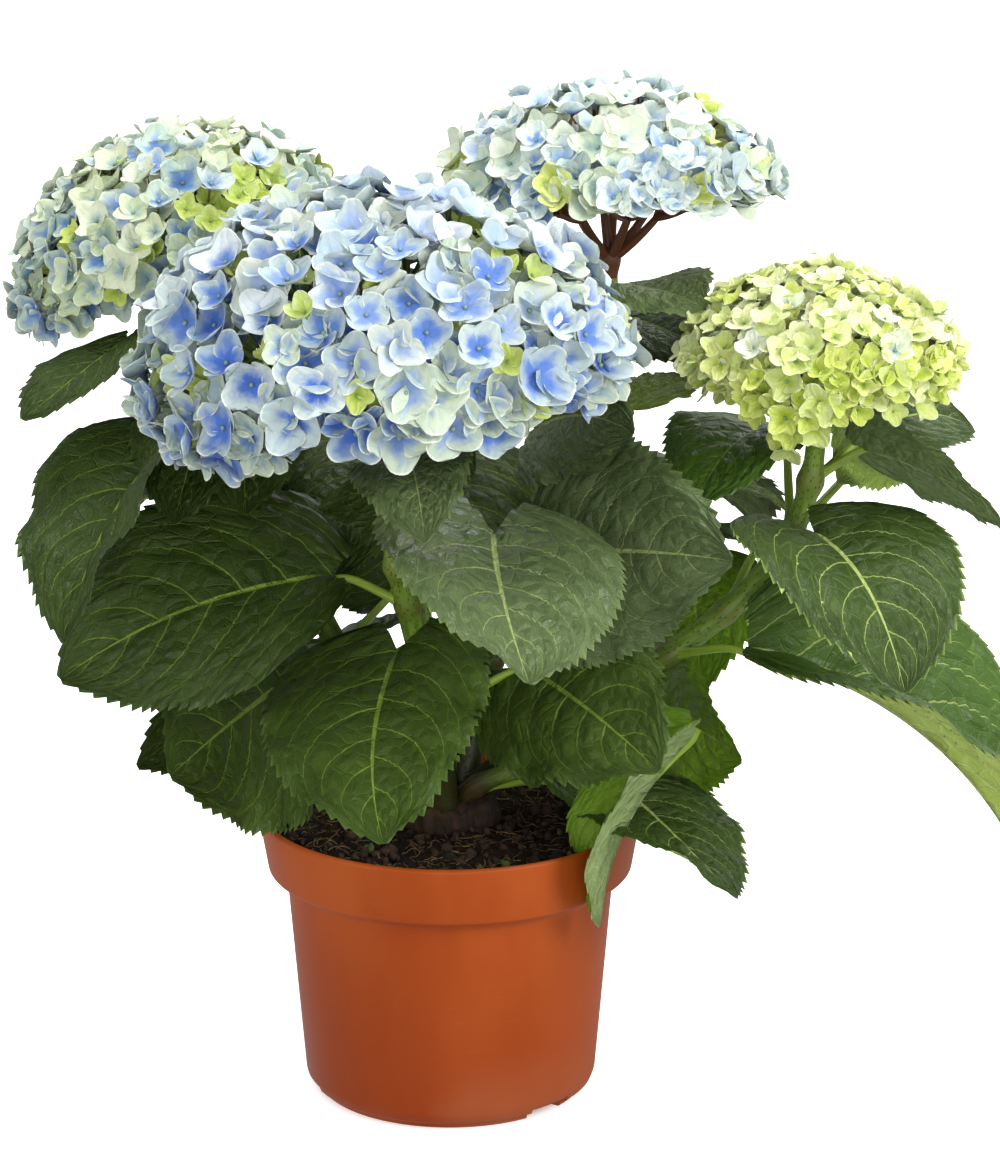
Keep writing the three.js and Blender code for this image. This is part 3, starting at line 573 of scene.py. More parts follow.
leaves = leafRows({
    "front_left": ("front", 0.63, 194, 25, 22, -15, 105, 0.92, -6, 32, 17, 47, {"lobe": 0.08}),
    "far_left": ("left", 0.71, 236, 25, 50, 0, 95, 0.76, -17, 36, -38, -3, {"veer": 16, "foldRight": 44}),
    "low_left": ("left", 0.12, 144, 27, 31, 101, 104, 0.95, -2, 7, -108, -6, {}),
    "low_front": ("front", 0.45, 237, 25, 7, 16, 101, 0.8, -24, -2, -12, 7, {"veer": 30, "lobe": 0.17}),
    "low_right": ("front", 0.27, 2, 25, 32, -63, 91, 0.78, -2, 11, -53, 13, {"lobe": 0.26}),
    "front": ("front", 0.75, 326, 24, 38, -55, 101, 0.86, -7, 13, 8, 11, {"veer": 12, "lobe": 0.3}),
    "front_right": ("back", 0.39, 281, 25, 56, 26, 104, 0.8, 16, 9, -73, -4, {}),
    "rim_right": ("low", 0.62, 10, -22, 25, -71, 77, 0.76, -10, 6, -4, 42, {"foldRight": -6, "lobe": 0.07}),
    "side_right": ("low", 0.5, 50, 1, 62, -114, 75, 0.79, 19, 28, -76, -24, {}),
    "pale_right": ("back", 0.45, 35, -12, 71, -123, 67, 0.78, -16, 33, -2, -15, {}),
    "heart_right": ("right", 0.77, 285, 24, 35, 12, 83, 0.93, -1, 56, -5, -2,
                    {"veer": -8, "foldRight": 8, "foldLeft": -2, "lobe": 0.32}),
    "arching": ("right", 0.46, 322, 14, 28, 43, 147, 0.67, -13, 57, -22, 38,
                {"foldLeft": 46, "foldRight": 17, "lobe": 0.04, "seat": -1.3}),
    "lime_left": ("right", 0.82, 96, 32, 45, 142, 65, 0.91, 16, 63, -3, 8, {}),
    "lime_right": ("right", 0.93, 6, 26, 17, -55, 72, 0.59, 2, 28, 53, 0, {"seat": -1.3}),
    "lime_rear": ("right", 0.92, 40, 25, 32, 3, 55, 0.75, 11, 44, -27, -8, {"seat": -1.3}),
    "back_right": ("back", 0.97, 303, 20, 9, -3, 53, 0.78, 11, 17, 8, -45, {}),
    "under_left": ("left", 0.95, 236, 21, 50, -9, 54, 0.75, -20, 5, -20, 32, {}),
    "over_rim": ("low", 0.6, 337, 17, 48, -137, 78, 0.72, -38, 50, 0, -12,
                 {"foldLeft": 32, "foldRight": 28, "lobe": 0.1, "seat": -0.6}),
    "under_front": ("front", 0.93, 290, 49, 19, -13, 60, 0.71, 8, 46, -15, 1, {"seat": -1.5}),
    "under_right": ("back", 0.64, 257, 25, 52, 43, 70, 0.75, 30, 37, -62, -11, {}),
    "middle_left": ("left", 0.31, 59, 29, 40, 173, 72, 0.76, 50, 51, -95, -1, {}),
    "tip_left": ("front", 0.74, 62, 25, 41, 160, 64, 0.78, 19, 31, -72, 23, {}),
    "low_middle": ("back", 0.31, 284, 24, 31, -42, 50, 0.75, 16, 51, -88, 11, {}),
    "behind_right": ("back", 0.85, 52, 17, 21, -110, 49, 0.79, 2, 13, -6, -38, {}),
    "behind_low": ("back", 0.69, 298, 25, 44, 108, 37, 0.76, 19, 30, -2, -7, {}),
    "lime_under": ("right", 0.78, 59, 20, 68, -166, 56, 0.81, 22, 51, 43, 26, {"seat": -0.6}),
    "bud_right": ("back", 0.5, 357, 14, 66, 4, 30, 0.55, -12, 36, 0, 0, {"stalkRadius": 1.2}),
    "low_rear": ("left", 0.09, 132, -3, 69, 95, 66, 0.65, 14, 39, 71, 12, {}),
    "on_soil": ("low", 0.08, 16, -2, 23, -70, 35, 0.76, -3, 38, 26, -7, {}),
    "rear_top": ("rear", 0.94, 75, 30, 24, 0, 84, 0.78, 0, 45, 0, 0, {"seat": -0.6}),
    "rear_high": ("rear", 0.79, 145, 33, 35, -5, 93, 0.78, 1, 31, 2, -2, {}),
    "rear_middle": ("rear", 0.52, 96, 20, 36, 0, 98, 0.78, -8, 40, 0, 0, {}),
    "rear_low": ("rear", 0.24, 130, 12, 40, 0, 96, 0.78, -14, 34, 0, 0, {}),
    "back_high": ("back", 0.8, 95, 22, 30, 0, 86, 0.78, -4, 42, 0, 0, {"seat": -0.8}),
    "back_middle": ("back", 0.5, 48, 20, 38, 0, 98, 0.78, -6, 40, 0, 0, {"seat": -0.7}),
    "back_low": ("back", 0.23, 63, 7, 40, 0, 90, 0.78, -11, 32, -1, 0, {}),
    "left_rear": ("left", 0.55, 138, 20, 34, 0, 94, 0.78, -8, 38, 0, 0, {"seat": -1}),
    "left_high": ("left", 0.88, 140, 15, 30, 0, 76, 0.78, -6, 42, 0, 0, {"seat": -1.1}),
    "right_rear": ("right", 0.6, 66, 24, 34, 0, 92, 0.78, -8, 38, 0, 0, {"seat": -0.7}),
})
# small leaves of side shoots that close the plant below its heads
innerLeaves = leafRows({
    "inner_left": ("left", 0.8, 274, 33, 20, 0, 56, 0.95, 0, 55, 0, 0, {}),
    "inner_far": ("left", 0.8, 256, 35, 27, 0, 64, 0.8, -8, 42, 0, 0, {}),
    "inner_low": ("back", 0.16, 287, 30, 24, 0, 50, 0.85, -15, 45, 0, 0, {}),
    "inner_front": ("rear", 0.9, 250, 25, 30, 0, 80, 0.8, -10, 40, 0, 0, {}),
    "inner_right": ("rear", 0.84, 285, 28, 32, 0, 80, 0.8, -8, 40, 0, 0, {}),
})
bladeLook = {
    "tooth": 3.9,  # spacing of the teeth, mm
    "toothDepth": 2.4, "columns": 32, "sheet": 0.45,  # blade thickness, mm
    "midrib": 1.5,  # how far the midrib stands out below, mm
    "quilt": 1.7, "puckers": 0.5, "wave": 1.7,
    "pairs": 6.6, "veinOut": 0.27, "veinArch": 0.29, "leftShift": 0.3,  # side veins and how they arch
    "netAcross": 6.6, "netAlong": 8.6,  # meshes of the net of small veins
}
leafTones = ("top", "light", "vein", "net", "under", "underVein", "edge")  # in the order of a group's tones
leafGroups = {
    "leavesDark": {
        "rows": ["front_left", "far_left", "under_left", "tip_left", "middle_left", "low_middle",
                 "low_rear", "behind_right", *innerLeaves],
        "tones": "#304312 #3f541c #83a03c #48601f #5c6f42 #849a5e #566f30",
        "rough": 0.4, "relief": 1.3, "netShow": 0.34,
    },
    # painted light: a lighter copy of the dark leaves' tones for the low leaves, which lie in the shade of
    # those above
    "leavesLowLit": {
        "rows": ["low_left", "low_right", "low_front"],
        "tones": "#3a5016 #4a6222 #8eac44 #587028 #5c6f42 #849a5e #6a853c",
        "rough": 0.42, "netShow": 0.34,
    },
    # grey-green tones that are partly the leaves' own colour and partly painted sheen
    "leavesSlateSheen": {
        "rows": ["front", "front_right", "under_right", "under_front"],
        "tones": "#55683f #66794c #aec076 #728652 #66784e #8ea06c #7c9050",
        "rough": 0.28, "relief": 1.2, "netShow": 0.4,
    },
    "leavesBright": {
        "rows": ["heart_right", "lime_rear", "rim_right"],
        "tones": "#33481a #3f5520 #b2c670 #61783a #b2cc60 #d4e48c #a8bf66",
        "rough": 0.38, "netShow": 0.42,
    },
    # painted light: the bright leaves' tones made lighter for the arching leaf
    "leavesArchingLit": {
        "rows": ["arching"],
        "tones": "#435f24 #51702c #b8ca78 #70873e #b2cc60 #d4e48c #a8bf66",
        "rough": 0.34, "netShow": 0.42,
    },
    # the young leaves' own lighter green, and painted light on lime_left, which lies in the shade of the head
    # above
    "leavesYoungAndLit": {
        "rows": ["on_soil", "lime_left"],
        "tones": "#436416 #547a20 #90ad4c #6a8a34 #94a67c #b8c79c #b0c080",
        "rough": 0.42, "netShow": 0.4,
    },
    # painted light: a lighter, greyer copy of the leaf tones for leaves that lie in shade
    "leavesGreyLit": {
        "rows": ["lime_right", "back_right"],
        "tones": "#708650 #80965e #b0c288 #8a9c68 #8ea26c #b4c48c #98ac70",
        "rough": 0.4, "netShow": 0.4,
    },
    # painted light: a much lighter copy of the leaf tones for leaves that lie in shade
    "leavesLit": {
        "rows": ["side_right", "pale_right", "over_rim"],
        "tones": "#74a020 #88b22e #c0d66c #98ba44 #8ca266 #b4c48a #9cb64c",
        "rough": 0.42, "netShow": 0.4,
    },
    "leavesRear": {
        "rows": ["rear_top", "rear_high", "rear_middle", "rear_low", "back_high", "back_middle",
                 "back_low", "left_rear", "left_high", "right_rear"],
        "tones": "#28400e #365116 #76903a #4c6620 #62763f #8ea262 #688036",
        "rough": 0.4, "netShow": 0.36,
    },
    "leavesPale": {
        "rows": ["bud_right", "behind_low", "lime_under"],
        "tones": "#7c9838 #90aa4c #b9ca7c #98ae56 #93a568 #b8c78c #b6c67c",
        "slot": "leaf_pale", "rough": 0.5, "netShow": 0.35,
    },
}
# leaves that turn their back to where their cane's curve would face them
turnedOver = ["low_left", "lime_right", "middle_left", "tip_left", "low_middle"]


def leafOf(name):
    leaf = {**leaves, **innerLeaves}[name]
    leaf["face"] = -1 if name in turnedOver else 1
    cane = canes[leaf["cane"]]
    place, along, radius = canePoint(cane, leaf["at"])
    out = heading(leaf["turn"], leaf["rise"])
    lean = abs(along @ out)
    stand = (radius + caneLook["clear"] + leaf["stalkRadius"] * lean) / sqrt(1 - lean ** 2)
    leaf["joint"], leaf["out"], leaf["caneRadius"] = place, out, radius
    leaf["root"] = place + out * (stand + leaf["seat"])
    leaf["base"] = leaf["root"] + out * leaf["stalk"]
    return leaf


def bladeShape(s):
    return (s + 0.045) ** 0.45 * np.maximum(1 - s, 0) ** 0.85


def halfWidth(t):
    return 0.5 * bladeShape(t) / bladeShape((0.45 - 0.85 * 0.045) / 1.3)


def veinPhase(t, v):
    # whole numbers lie on the side veins, which leave the midrib and arch forward
    look = bladeLook
    bent = look["veinOut"] * np.abs(v) + look["veinArch"] * np.abs(v) ** 3
    return (t - bent) * look["pairs"] + look["leftShift"] * (v < 0)


def bladePoints(leaf, t, v, seed, below=False):
    # t from base to tip (rows), v from -1 at the left margin to 1 at the right (columns)
    steps = 180
    middle = (np.arange(steps) + 0.5) / steps
    way = leaf["turn"] + leaf["swing"]
    ahead = heading(way + leaf["veer"] * middle, leaf["pitch"] - leaf["droop"] * middle)
    rib = leaf["base"] + np.concatenate([np.zeros((1, 3)), np.cumsum(ahead * leaf["blade"] / steps, axis=0)])
    places = np.linspace(0, 1, steps + 1)
    midrib = np.stack([np.interp(t, places, rib[:, i]) for i in range(3)], -1)[:, None]
    turn = way + leaf["veer"] * t
    forward = heading(turn, leaf["pitch"] - leaf["droop"] * t)
    level = np.stack([np.sin(np.radians(turn)), -np.cos(np.radians(turn)), 0 * t], -1)
    roll = -np.radians(leaf["roll"] + leaf["twist"] * t)[:, None]
    right = level * np.cos(roll) + np.cross(forward, level) * np.sin(roll)
    normal = np.cross(right, forward)
    t, v = t[:, None], v[None, :]
    forward, right, normal = forward[:, None], right[:, None], normal[:, None]
    size = leaf["blade"] / 100
    half = leaf["blade"] * leaf["width"] * halfWidth(t) * (1 - 0.33 * (1 - np.minimum(t / 0.1, 1)) ** 2)
    fold = np.radians(leaf["cup"] + np.where(v < 0, leaf["foldLeft"], leaf["foldRight"]))
    lobed = 1.6 * np.abs(v) ** 1.1 * (1 - 0.55 * v * v)
    back = leaf["lobe"] * leaf["blade"] * lobed * (1 - t) ** 3
    # the quilted skin: pillows between the side veins, and smaller puckers in them
    phase = veinPhase(t, v * leaf["face"])
    inner = softStep(1.0, 0.86, np.abs(v)) * softStep(0.0, 0.1, np.abs(v)) * softStep(1.0, 0.85, t)
    pillow = np.abs(np.sin(pi * phase)) ** 0.7
    puckers = np.sin(pi * phase) * np.sin(pi * (np.abs(v) * 4.6 + 0.37 * np.floor(phase)))
    relief = size * inner * (bladeLook["quilt"] * (pillow - 0.4) + bladeLook["puckers"] * puckers)
    relief = relief - 0.5 * size * np.exp(-(v * half / 1.3) ** 2) * (1 - t)
    random = np.random.default_rng(seed)
    wave = sum(random.uniform(0.3, 0.8)
               * np.sin(2 * pi * (t * k + random.uniform()) + np.sign(v) * random.uniform(0, 2))
               for k in (1.6, 2.7, 4.1))
    wave = size * bladeLook["wave"] * wave * np.abs(v) ** 3
    relief = relief + wave * softStep(0, 0.2, t) * softStep(1, 0.9, t)
    if below:
        thick = bladeLook["sheet"] * softStep(1.0, 0.9, np.abs(v))
        thick = thick * softStep(0.0, 0.03, t) * softStep(1, 0.96, t)
        rib = size * bladeLook["midrib"] * (1 - 0.75 * t) * np.exp(-(v * half / (1.5 * size)) ** 2)
        relief = relief - thick - rib
    relief = relief * leaf["face"]
    points = (midrib - forward * back[..., None] + right * (half * v * np.cos(fold))[..., None]
              + normal * (half * (np.abs(v) * np.sin(fold) - 0.1 * v * v) + relief)[..., None])
    return points, forward, right


def bladeRows(blade):
    # three rows to a tooth: the notch, its long back and its tip, which points forward
    teeth = max(11, int(blade / bladeLook["tooth"]))
    starts = np.arange(teeth)[:, None] / teeth
    t = (starts + np.array([0, 0.5, 0.86])[None, :] / teeth).ravel()
    push = np.tile([0, 0.55, 1.0], teeth)
    push = push * softStep(0, 0.05, t) * (0.45 + 0.55 * softStep(1, 0.8, t))
    return np.append(np.append([0, 0.006], t[1:]), 1.0), np.append(np.append([0, 0], push[1:]), 0)


def addBlade(pile, leaf, seed):
    t, push = bladeRows(leaf["blade"])
    v = np.linspace(-1, 1, bladeLook["columns"] + 1)
    v = np.sign(v) * np.abs(v) ** 0.93
    tooth = bladeLook["toothDepth"] * (leaf["blade"] / 100) ** 0.7 * push
    for below in (False, True):
        points, forward, right = bladePoints(leaf, t, v, seed, below)
        for column, side in ((0, -1), (-1, 1)):
            points[:, column] += right[:, 0] * (0.7 * side * tooth)[:, None]
            points[:, column] += forward[:, 0] * (0.8 * tooth)[:, None]
        left = 0.5 * below
        across = left + 0.25 + 0.235 * leaf["face"] * v[None, :] * np.ones((len(t), 1))
        up = 0.01 + 0.98 * t[:, None] * np.ones((1, len(v)))
        addGrid(pile, points, np.stack([across, up], -1), flip=below != (leaf["face"] < 0))


def addStalk(pile, leaf, seed):
    # the stalk springs from the cane, and ends as the keel of the midrib under the blade
    t = np.array([0.0, 0.04, 0.1, 0.17, 0.26])
    under = bladePoints(leaf, t, np.array([0.0]), seed, True)[0][:, 0]
    ahead = heading(leaf["turn"] + leaf["swing"], leaf["pitch"])
    root = leaf["joint"] + leaf["out"] * leaf["caneRadius"] * 0.55
    rings = stalkLook["rings"]
    path = onCurve([root, leaf["root"] + leaf["out"] * 0.4 * leaf["stalk"],
                    leaf["base"] - ahead * 0.3 * leaf["stalk"], under[0]], np.linspace(0, 1, rings))
    path = np.concatenate([path, under[1:]])
    size = leaf["stalkRadius"]
    radii = np.linspace(size * 1.02, size * 0.74, rings)
    radii = np.append(radii, [size * 0.62, size * 0.48, size * 0.36, 0.1])
    radii[:4] = size * np.array([1.75, 1.5, 1.24, 1.08])
    addTube(pile, path, radii, stalkLook["sides"], (0.01, 0.01, 0.99, 0.99))


def leafMaterial(name, look):
    # living leaf: satin cuticle over soft green, pale raised ribs, side veins every 12 mm or so,
    # a net of 6 mm meshes between them, and a matt grey-green underside
    material, add = newMaterial(name)
    blade = bladeLook
    place = add("UVMap", uv_map="OFBake")
    parts = add("SeparateXYZ", place, out=None)
    under = add("Math.GREATER_THAN", parts[0], 0.5)
    shifted = add("Math.MULTIPLY_ADD", under, -0.5, parts[0])
    v = add("MapRange", shifted, 0.015, 0.485, -1.0, 1.0)
    t = add("MapRange", parts[1], 0.01, 0.99)
    size = add("Math.ABSOLUTE", v)
    cube = add("Math.POWER", size, 3.0)
    bent = add("Math.MULTIPLY_ADD", size, -blade["veinOut"], t)
    bent = add("Math.MULTIPLY_ADD", cube, -blade["veinArch"], bent)
    left = add("Math.MULTIPLY", add("Math.LESS_THAN", v, 0.0), blade["leftShift"])
    phase = add("Math.MULTIPLY_ADD", bent, blade["pairs"], left)
    # slight wander, so that no vein is ruled
    wander = add("MapRange", add("TexNoise", place, Scale=12, Detail=2), 0, 1, -0.1, 0.1)
    apart = add("Math.PINGPONG", add("Math.ADD", phase, wander), 0.5)
    width = add("MapRange", size, 0.0, 0.95, 0.019, 0.011)
    rib = add("MapRange.SMOOTHSTEP", apart, add("Math.MULTIPLY", width, 2.1), width)
    rib = add("Math.MULTIPLY", rib, add("MapRange", size, 0.93, 0.78))
    # midrib
    ribWidth = add("MapRange", t, 0.0, 0.75, 0.022, 0.009)
    middle = add("MapRange.SMOOTHSTEP", size, add("Math.MULTIPLY", ribWidth, 1.5), ribWidth)
    # the net between the side veins
    along = add("Math.MULTIPLY", size, blade["netAcross"])
    rung = add("Math.MULTIPLY", add("Math.ADD", t, bent), blade["netAlong"])
    meshAt = add("CombineXYZ", rung, along, left)
    jog = add("TexNoise", meshAt, Scale=0.8, Detail=2, out=1)
    meshAt = add("Mix.VECTOR", 0.16, meshAt, jog)
    cells = add("TexVoronoi", meshAt, Scale=1.0, Randomness=0.85, feature="DISTANCE_TO_EDGE")
    net = add("MapRange.SMOOTHSTEP", cells, 0.05, 0.01)
    fine = add("TexVoronoi", meshAt, Scale=3.4, feature="DISTANCE_TO_EDGE")
    fineNet = add("MapRange", fine, 0.09, 0.02)
    netShown = add("Math.MULTIPLY", net, look["netShow"])
    netShown = add("Math.MULTIPLY_ADD", fineNet, 0.1, netShown)
    # colours
    patch = add("TexNoise", place, Scale=5, Detail=4, Roughness=0.6)
    patch = add("MapRange", patch, 0.35, 0.68)
    near = add("MapRange", apart, 0.26, 0.02, 0, 0.45)
    patch = add("Math.ADD", patch, near, use_clamp=True)
    top = add("Mix.RGBA", patch, look["top"], look["light"])
    top = add("Mix.RGBA", netShown, top, look["net"])
    low = add("Mix.RGBA", netShown, look["under"], look["underVein"])
    skin = add("Mix.RGBA", under, top, low)
    veins = add("Mix.RGBA", under, look["vein"], look["underVein"])
    bothRibs = add("Math.MAXIMUM", add("Math.MULTIPLY", rib, 0.66), middle)
    skin = add("Mix.RGBA", bothRibs, skin, veins)
    skin = add("Mix.RGBA", add("MapRange", size, 0.975, 1.0, 0, 0.55), skin, look["edge"])
    matt = add("Math.MULTIPLY_ADD", under, 0.25, look["rough"])
    matt = add("Math.MULTIPLY_ADD", patch, 0.1, matt)
    # relief: veins sunk on top and raised below
    sunk = add("Math.MULTIPLY_ADD", fineNet, 0.2, add("Math.MULTIPLY_ADD", net, 0.45, rib))
    # the skin swells between the meshes of the net
    sunk = add("Math.ADD", sunk, add("MapRange.SMOOTHERSTEP", cells, 0.0, 0.42, 0, -1.1))
    height = add("Math.MULTIPLY", sunk, add("MapRange", under, 0, 1, -1.0, 1.0))
    bump = add("Bump", Strength=0.75, Distance=0.0008 * look.get("relief", 1), Height=height)
    return setSurface(material, {
        "Base Color": skin, "Roughness": matt, "IOR": 1.42, "Specular IOR Level": 0.38, "Normal": bump,
    })


stalkLook = {"green": "#84a12e", "light": "#a3c04a", "foot": "#7d5238", "sides": 12, "rings": 20}


def stalkMaterial(look):
    # leaf stalk: smooth satin yellow-green, paler towards the blade
    material, add = newMaterial("leaf stalk, satin green")
    place = add("UVMap", uv_map="OFBake")
    along = add("SeparateXYZ", place, out=1)
    streak = add("TexNoise", add("Mapping", place, Scale=(14, 3, 1)), Scale=1, Detail=3)
    share = add("MapRange", streak, 0.35, 0.65)
    body = add("Mix.RGBA", share, look["green"], look["light"])
    body = add("Mix.RGBA", add("MapRange", along, 0.14, 0.02, 0, 0.45), body, look["foot"])
    bump = add("Bump", Strength=0.3, Distance=0.0003, Height=streak)
    return setSurface(material, {"Base Color": body, "Roughness": 0.45, "Normal": bump})


def makeLeaves():
    stalks = newPile()
    for k, (name, look) in enumerate(leafGroups.items()):
        look = {**look, **dict(zip(leafTones, look["tones"].split()))}
        pile = newPile()
        for i, row in enumerate(look["rows"]):
            leaf = leafOf(row)
            seed = 100 * k + i
            addBlade(pile, leaf, seed)
            addStalk(stalks, leaf, seed)
        makePiece(name, pile, leafMaterial(name + ", living leaf", look),
                  ["leaf_" + row for row in look["rows"] if row in leaves])
    makePiece("leafStalks", stalks, stalkMaterial(stalkLook), [])


# flower heads

# Each head is a flattened dome: its centre and half sizes, its rise and what lies under its middle, its
# lean towards a turn, and how far its foot drops below. Florets of a width sit sunk in it, in an open and an
# inner layer, up to a reach in degrees. Its lower edge is lifted, and hangs down at one place.
heads = {
    "front": {
        "centre": (-21, -64, 285), "half": (88, 67), "rise": 67, "under": 27, "lean": 8, "to": 262,
        "drop": 38, "width": 19.5, "sunk": 7, "grid": (8, 9), "reach": 112, "open": 250, "inner": 170,
        "limbs": 7, "seed": 5, "lift": 7.5, "hang": (-60, 26, 18), "tone": (0.12, 0.6), "youngSize": 0.62,
        "kinds": (0.62, 0.36, 0.02),
        "lime": [(44, 30), (-26, 18), (21, 11), (-8, -8), (-73, 0), (54, -16), (83, 14)],
    },
    "left": {
        "centre": (-99, 46, 302), "half": (63, 54), "rise": 47, "under": 27, "lean": 18, "to": 180,
        "drop": 34, "width": 15.5, "sunk": 5.5, "grid": (7, 8), "reach": 112, "open": 225, "inner": 140,
        "limbs": 6, "seed": 6, "lift": 3, "hang": (-55, 16, 5), "tone": (0.14, 0.62), "youngSize": 0.72,
        "kinds": (0.56, 0.4, 0.04),
        "lime": [(26, 26), (4, 13), (13, 12), (33, 12), (-34, -1), (10, 2), (-7, -4), (51, 31)],
    },
    "back": {
        "centre": (60, 55, 321), "half": (61, 52), "rise": 42, "under": 12, "lean": 5, "to": 330,
        "drop": 30, "width": 16.5, "sunk": 5, "grid": (7, 8), "reach": 98, "open": 170, "inner": 100,
        "limbs": 7, "seed": 7, "lift": 8, "hang": (-38, 22, 8), "tone": (0.36, 0.42), "youngSize": 0.7,
        "kinds": (0.58, 0.36, 0.06),
        "lime": [(30, 26), (33, 17), (27, 30), (-20, 4), (-19, -5), (-52, 10), (18, 39)],
    },
    "right": {
        "centre": (132, 0, 270), "half": (51, 47), "rise": 38, "under": 29, "lean": 3, "to": 330,
        "drop": 28, "width": 13, "sunk": 4.2, "grid": (6, 7), "reach": 115, "open": 320, "inner": 180,
        "limbs": 6, "seed": 8, "lift": 7, "hang": (-12, 14, 14), "tone": (0.12, 0.62), "youngSize": 0.82,
        "kinds": (0.06, 0.74, 0.2), "limeReach": 0.6,
        "lime": [(-12, -18), (6, -14), (-2, -4), (-22, -10), (12, 0), (34, 2), (40, -6)],
    },
}
innerKinds = (0.4, 0.35, 0.25)  # shares of the kinds of floret in the inner layer
limeReach = 0.3  # a lime floret lies this near to each of a head's lime spots, in floret widths
# kinds of floret: slope of the sepals at foot and tip in degrees, how their tips curl, and the rest in shares
# of the floret's width
floretShapes = {
    "blue": {"low": (2, 14), "high": (42, 76), "curl": (0, 24), "point": (2, 3.6), "breadth": (0.39, 0.46),
             "wrap": (0.35, 0.8), "wave": 0.014},
    "pale": {"low": (2, 16), "high": (34, 76), "curl": (0, 34), "point": (1.9, 3.4), "breadth": (0.38, 0.45),
             "wrap": (0.3, 0.75), "wave": 0.02},
    "young": {"low": (6, 22), "high": (48, 84), "curl": (0, 18), "point": (1.9, 3), "breadth": (0.37, 0.43),
              "wrap": (0.45, 0.85), "wave": 0.014},
}
# base colours of the kinds of floret on each head: four for the hearts and four for the rims, stepped from
# painted shade on the shaded side of the head to painted light at its crown, then the edge, the deep base
# (partly painted shade round the bead), and how far out the heart's colour reaches
petalParts = ("heart", "rim", "edge", "deep", "reach")
petals = {
    "front": {
        "blue": ("#4872cb #6086d2 #829fdb #a9bfec", "#afc3c8 #bdcecd #ccdad5 #dfe8e8",
                 "#f4f8ea", "#35539a", 0.54),
        "pale": ("#7291c9 #8ca5d1 #a4b8dc #c0cfec", "#c5d4bc #ceddc4 #d8e2d2 #e6ece8",
                 "#fafcf2", "#5878b8", 0.42),
        "young": ("#b2c848 #bccf62 #b2c848 #bccf62", "#d2e17c #d2e19c #d2e17c #d2e19c",
                  "#f2f7cc", "#869a2c", 0.42),
    },
    "left": {
        "blue": ("#557cc0 #6c94d2 #82a2e0 #9ab8e6", "#b4c8ba #c2d4c4 #ceddcc #d8e4da",
                 "#f0f6e2", "#3f5a92", 0.5),
        "pale": ("#94b0be #a2bcba #aec6b8 #c0d2c6", "#ccdab0 #d6e1bc #dfe8c6 #e8efd6",
                 "#f4f8e0", "#7890a0", 0.38),
        "young": ("#a2b838 #b2c84e #a2b838 #b2c84e", "#cada6c #d3e188 #cada6c #d3e188",
                  "#ecf2b8", "#7a8e2a", 0.45),
    },
    "back": {
        "blue": ("#719ad8 #82a8e2 #94b6ea #aac8ee", "#ccdcd8 #d4e2dc #dce8e0 #e4eee8",
                 "#f6faee", "#4a6cae", 0.5),
        "pale": ("#9fbed4 #b0cad2 #bad4cc #c8dcd2", "#d4e2c4 #dce8cc #e4edd4 #ebf2de",
                 "#fafcec", "#86a4b0", 0.38),
        "young": ("#c2d24a #cfdc62 #c2d24a #cfdc62", "#e0ea84 #e8f09a #e0ea84 #e8f09a",
                  "#f6fac8", "#96a832", 0.45),
    },
    "right": {
        "blue": ("#a8beb4 #b4c8bc #bccec0 #c6d6c8", "#dce6c4 #e2ebcc #e7efd2 #edf3dc",
                 "#f6f9e2", "#7c969a", 0.42),
        "pale": ("#b9cd58 #c6d772 #d2e08e #dce7a8", "#d6e292 #e1eba2 #ecf2b6 #f5f8cc",
                 "#fafce2", "#a2b45c", 0.36),
        "young": ("#b6ca40 #c2d550 #ccdc60 #d8e476", "#dce87c #e4ec8c #eaf19a #f0f5ac",
                  "#f6fabe", "#8ea02c", 0.45),
    },
}
beadColours = ("#40506a", "#8fae9a")  # of the bud in a floret's middle, at its foot and top
rayLooks = {
    "front": {"bark": "#5f7430", "light": "#839a4a"},
    "left": {"bark": "#5f4428", "light": "#7c7440"},
    "back": {"bark": "#5b3020", "light": "#7c4c30"},
    "right": {"bark": "#6f8a2c", "light": "#94ac48"},
}


# the umbrella below a head: where its hub, branches and limbs lie, and for each part the thickness at both
# ends on a head with 20 mm florets, its sides and rows, and how it sags
rayRule = {
    "hub": 9, "branchAt": 0.78, "limbAt": 0.5, "limb": (2.3, 1.55, 10, 10, 0.16),
    "branch": (1.35, 0.85, 7, 7, 0.1), "stalk": (0.62, 0.42, 4, 5, 0.05),
}


def headAxis(head):
    return heading(head["to"], 90 - head["lean"])


def headFoot(head):
    return np.array(head["centre"], float) - headAxis(head) * head["drop"]


def headFrame(head):
    axis = headAxis(head)
    side = unit(np.cross((0, 1, 0), axis))
    return np.array([side, np.cross(axis, side), axis])


def domePoint(head, polar, turn, inset=0.0):
    polar, turn = np.radians(polar), np.radians(turn)
    high = np.where(polar < pi / 2, head["rise"], head["under"]) - inset
    return np.stack([(head["half"][0] - inset) * np.sin(polar) * np.cos(turn),
                     (head["half"][1] - inset) * np.sin(polar) * np.sin(turn), high * np.cos(polar)], -1)


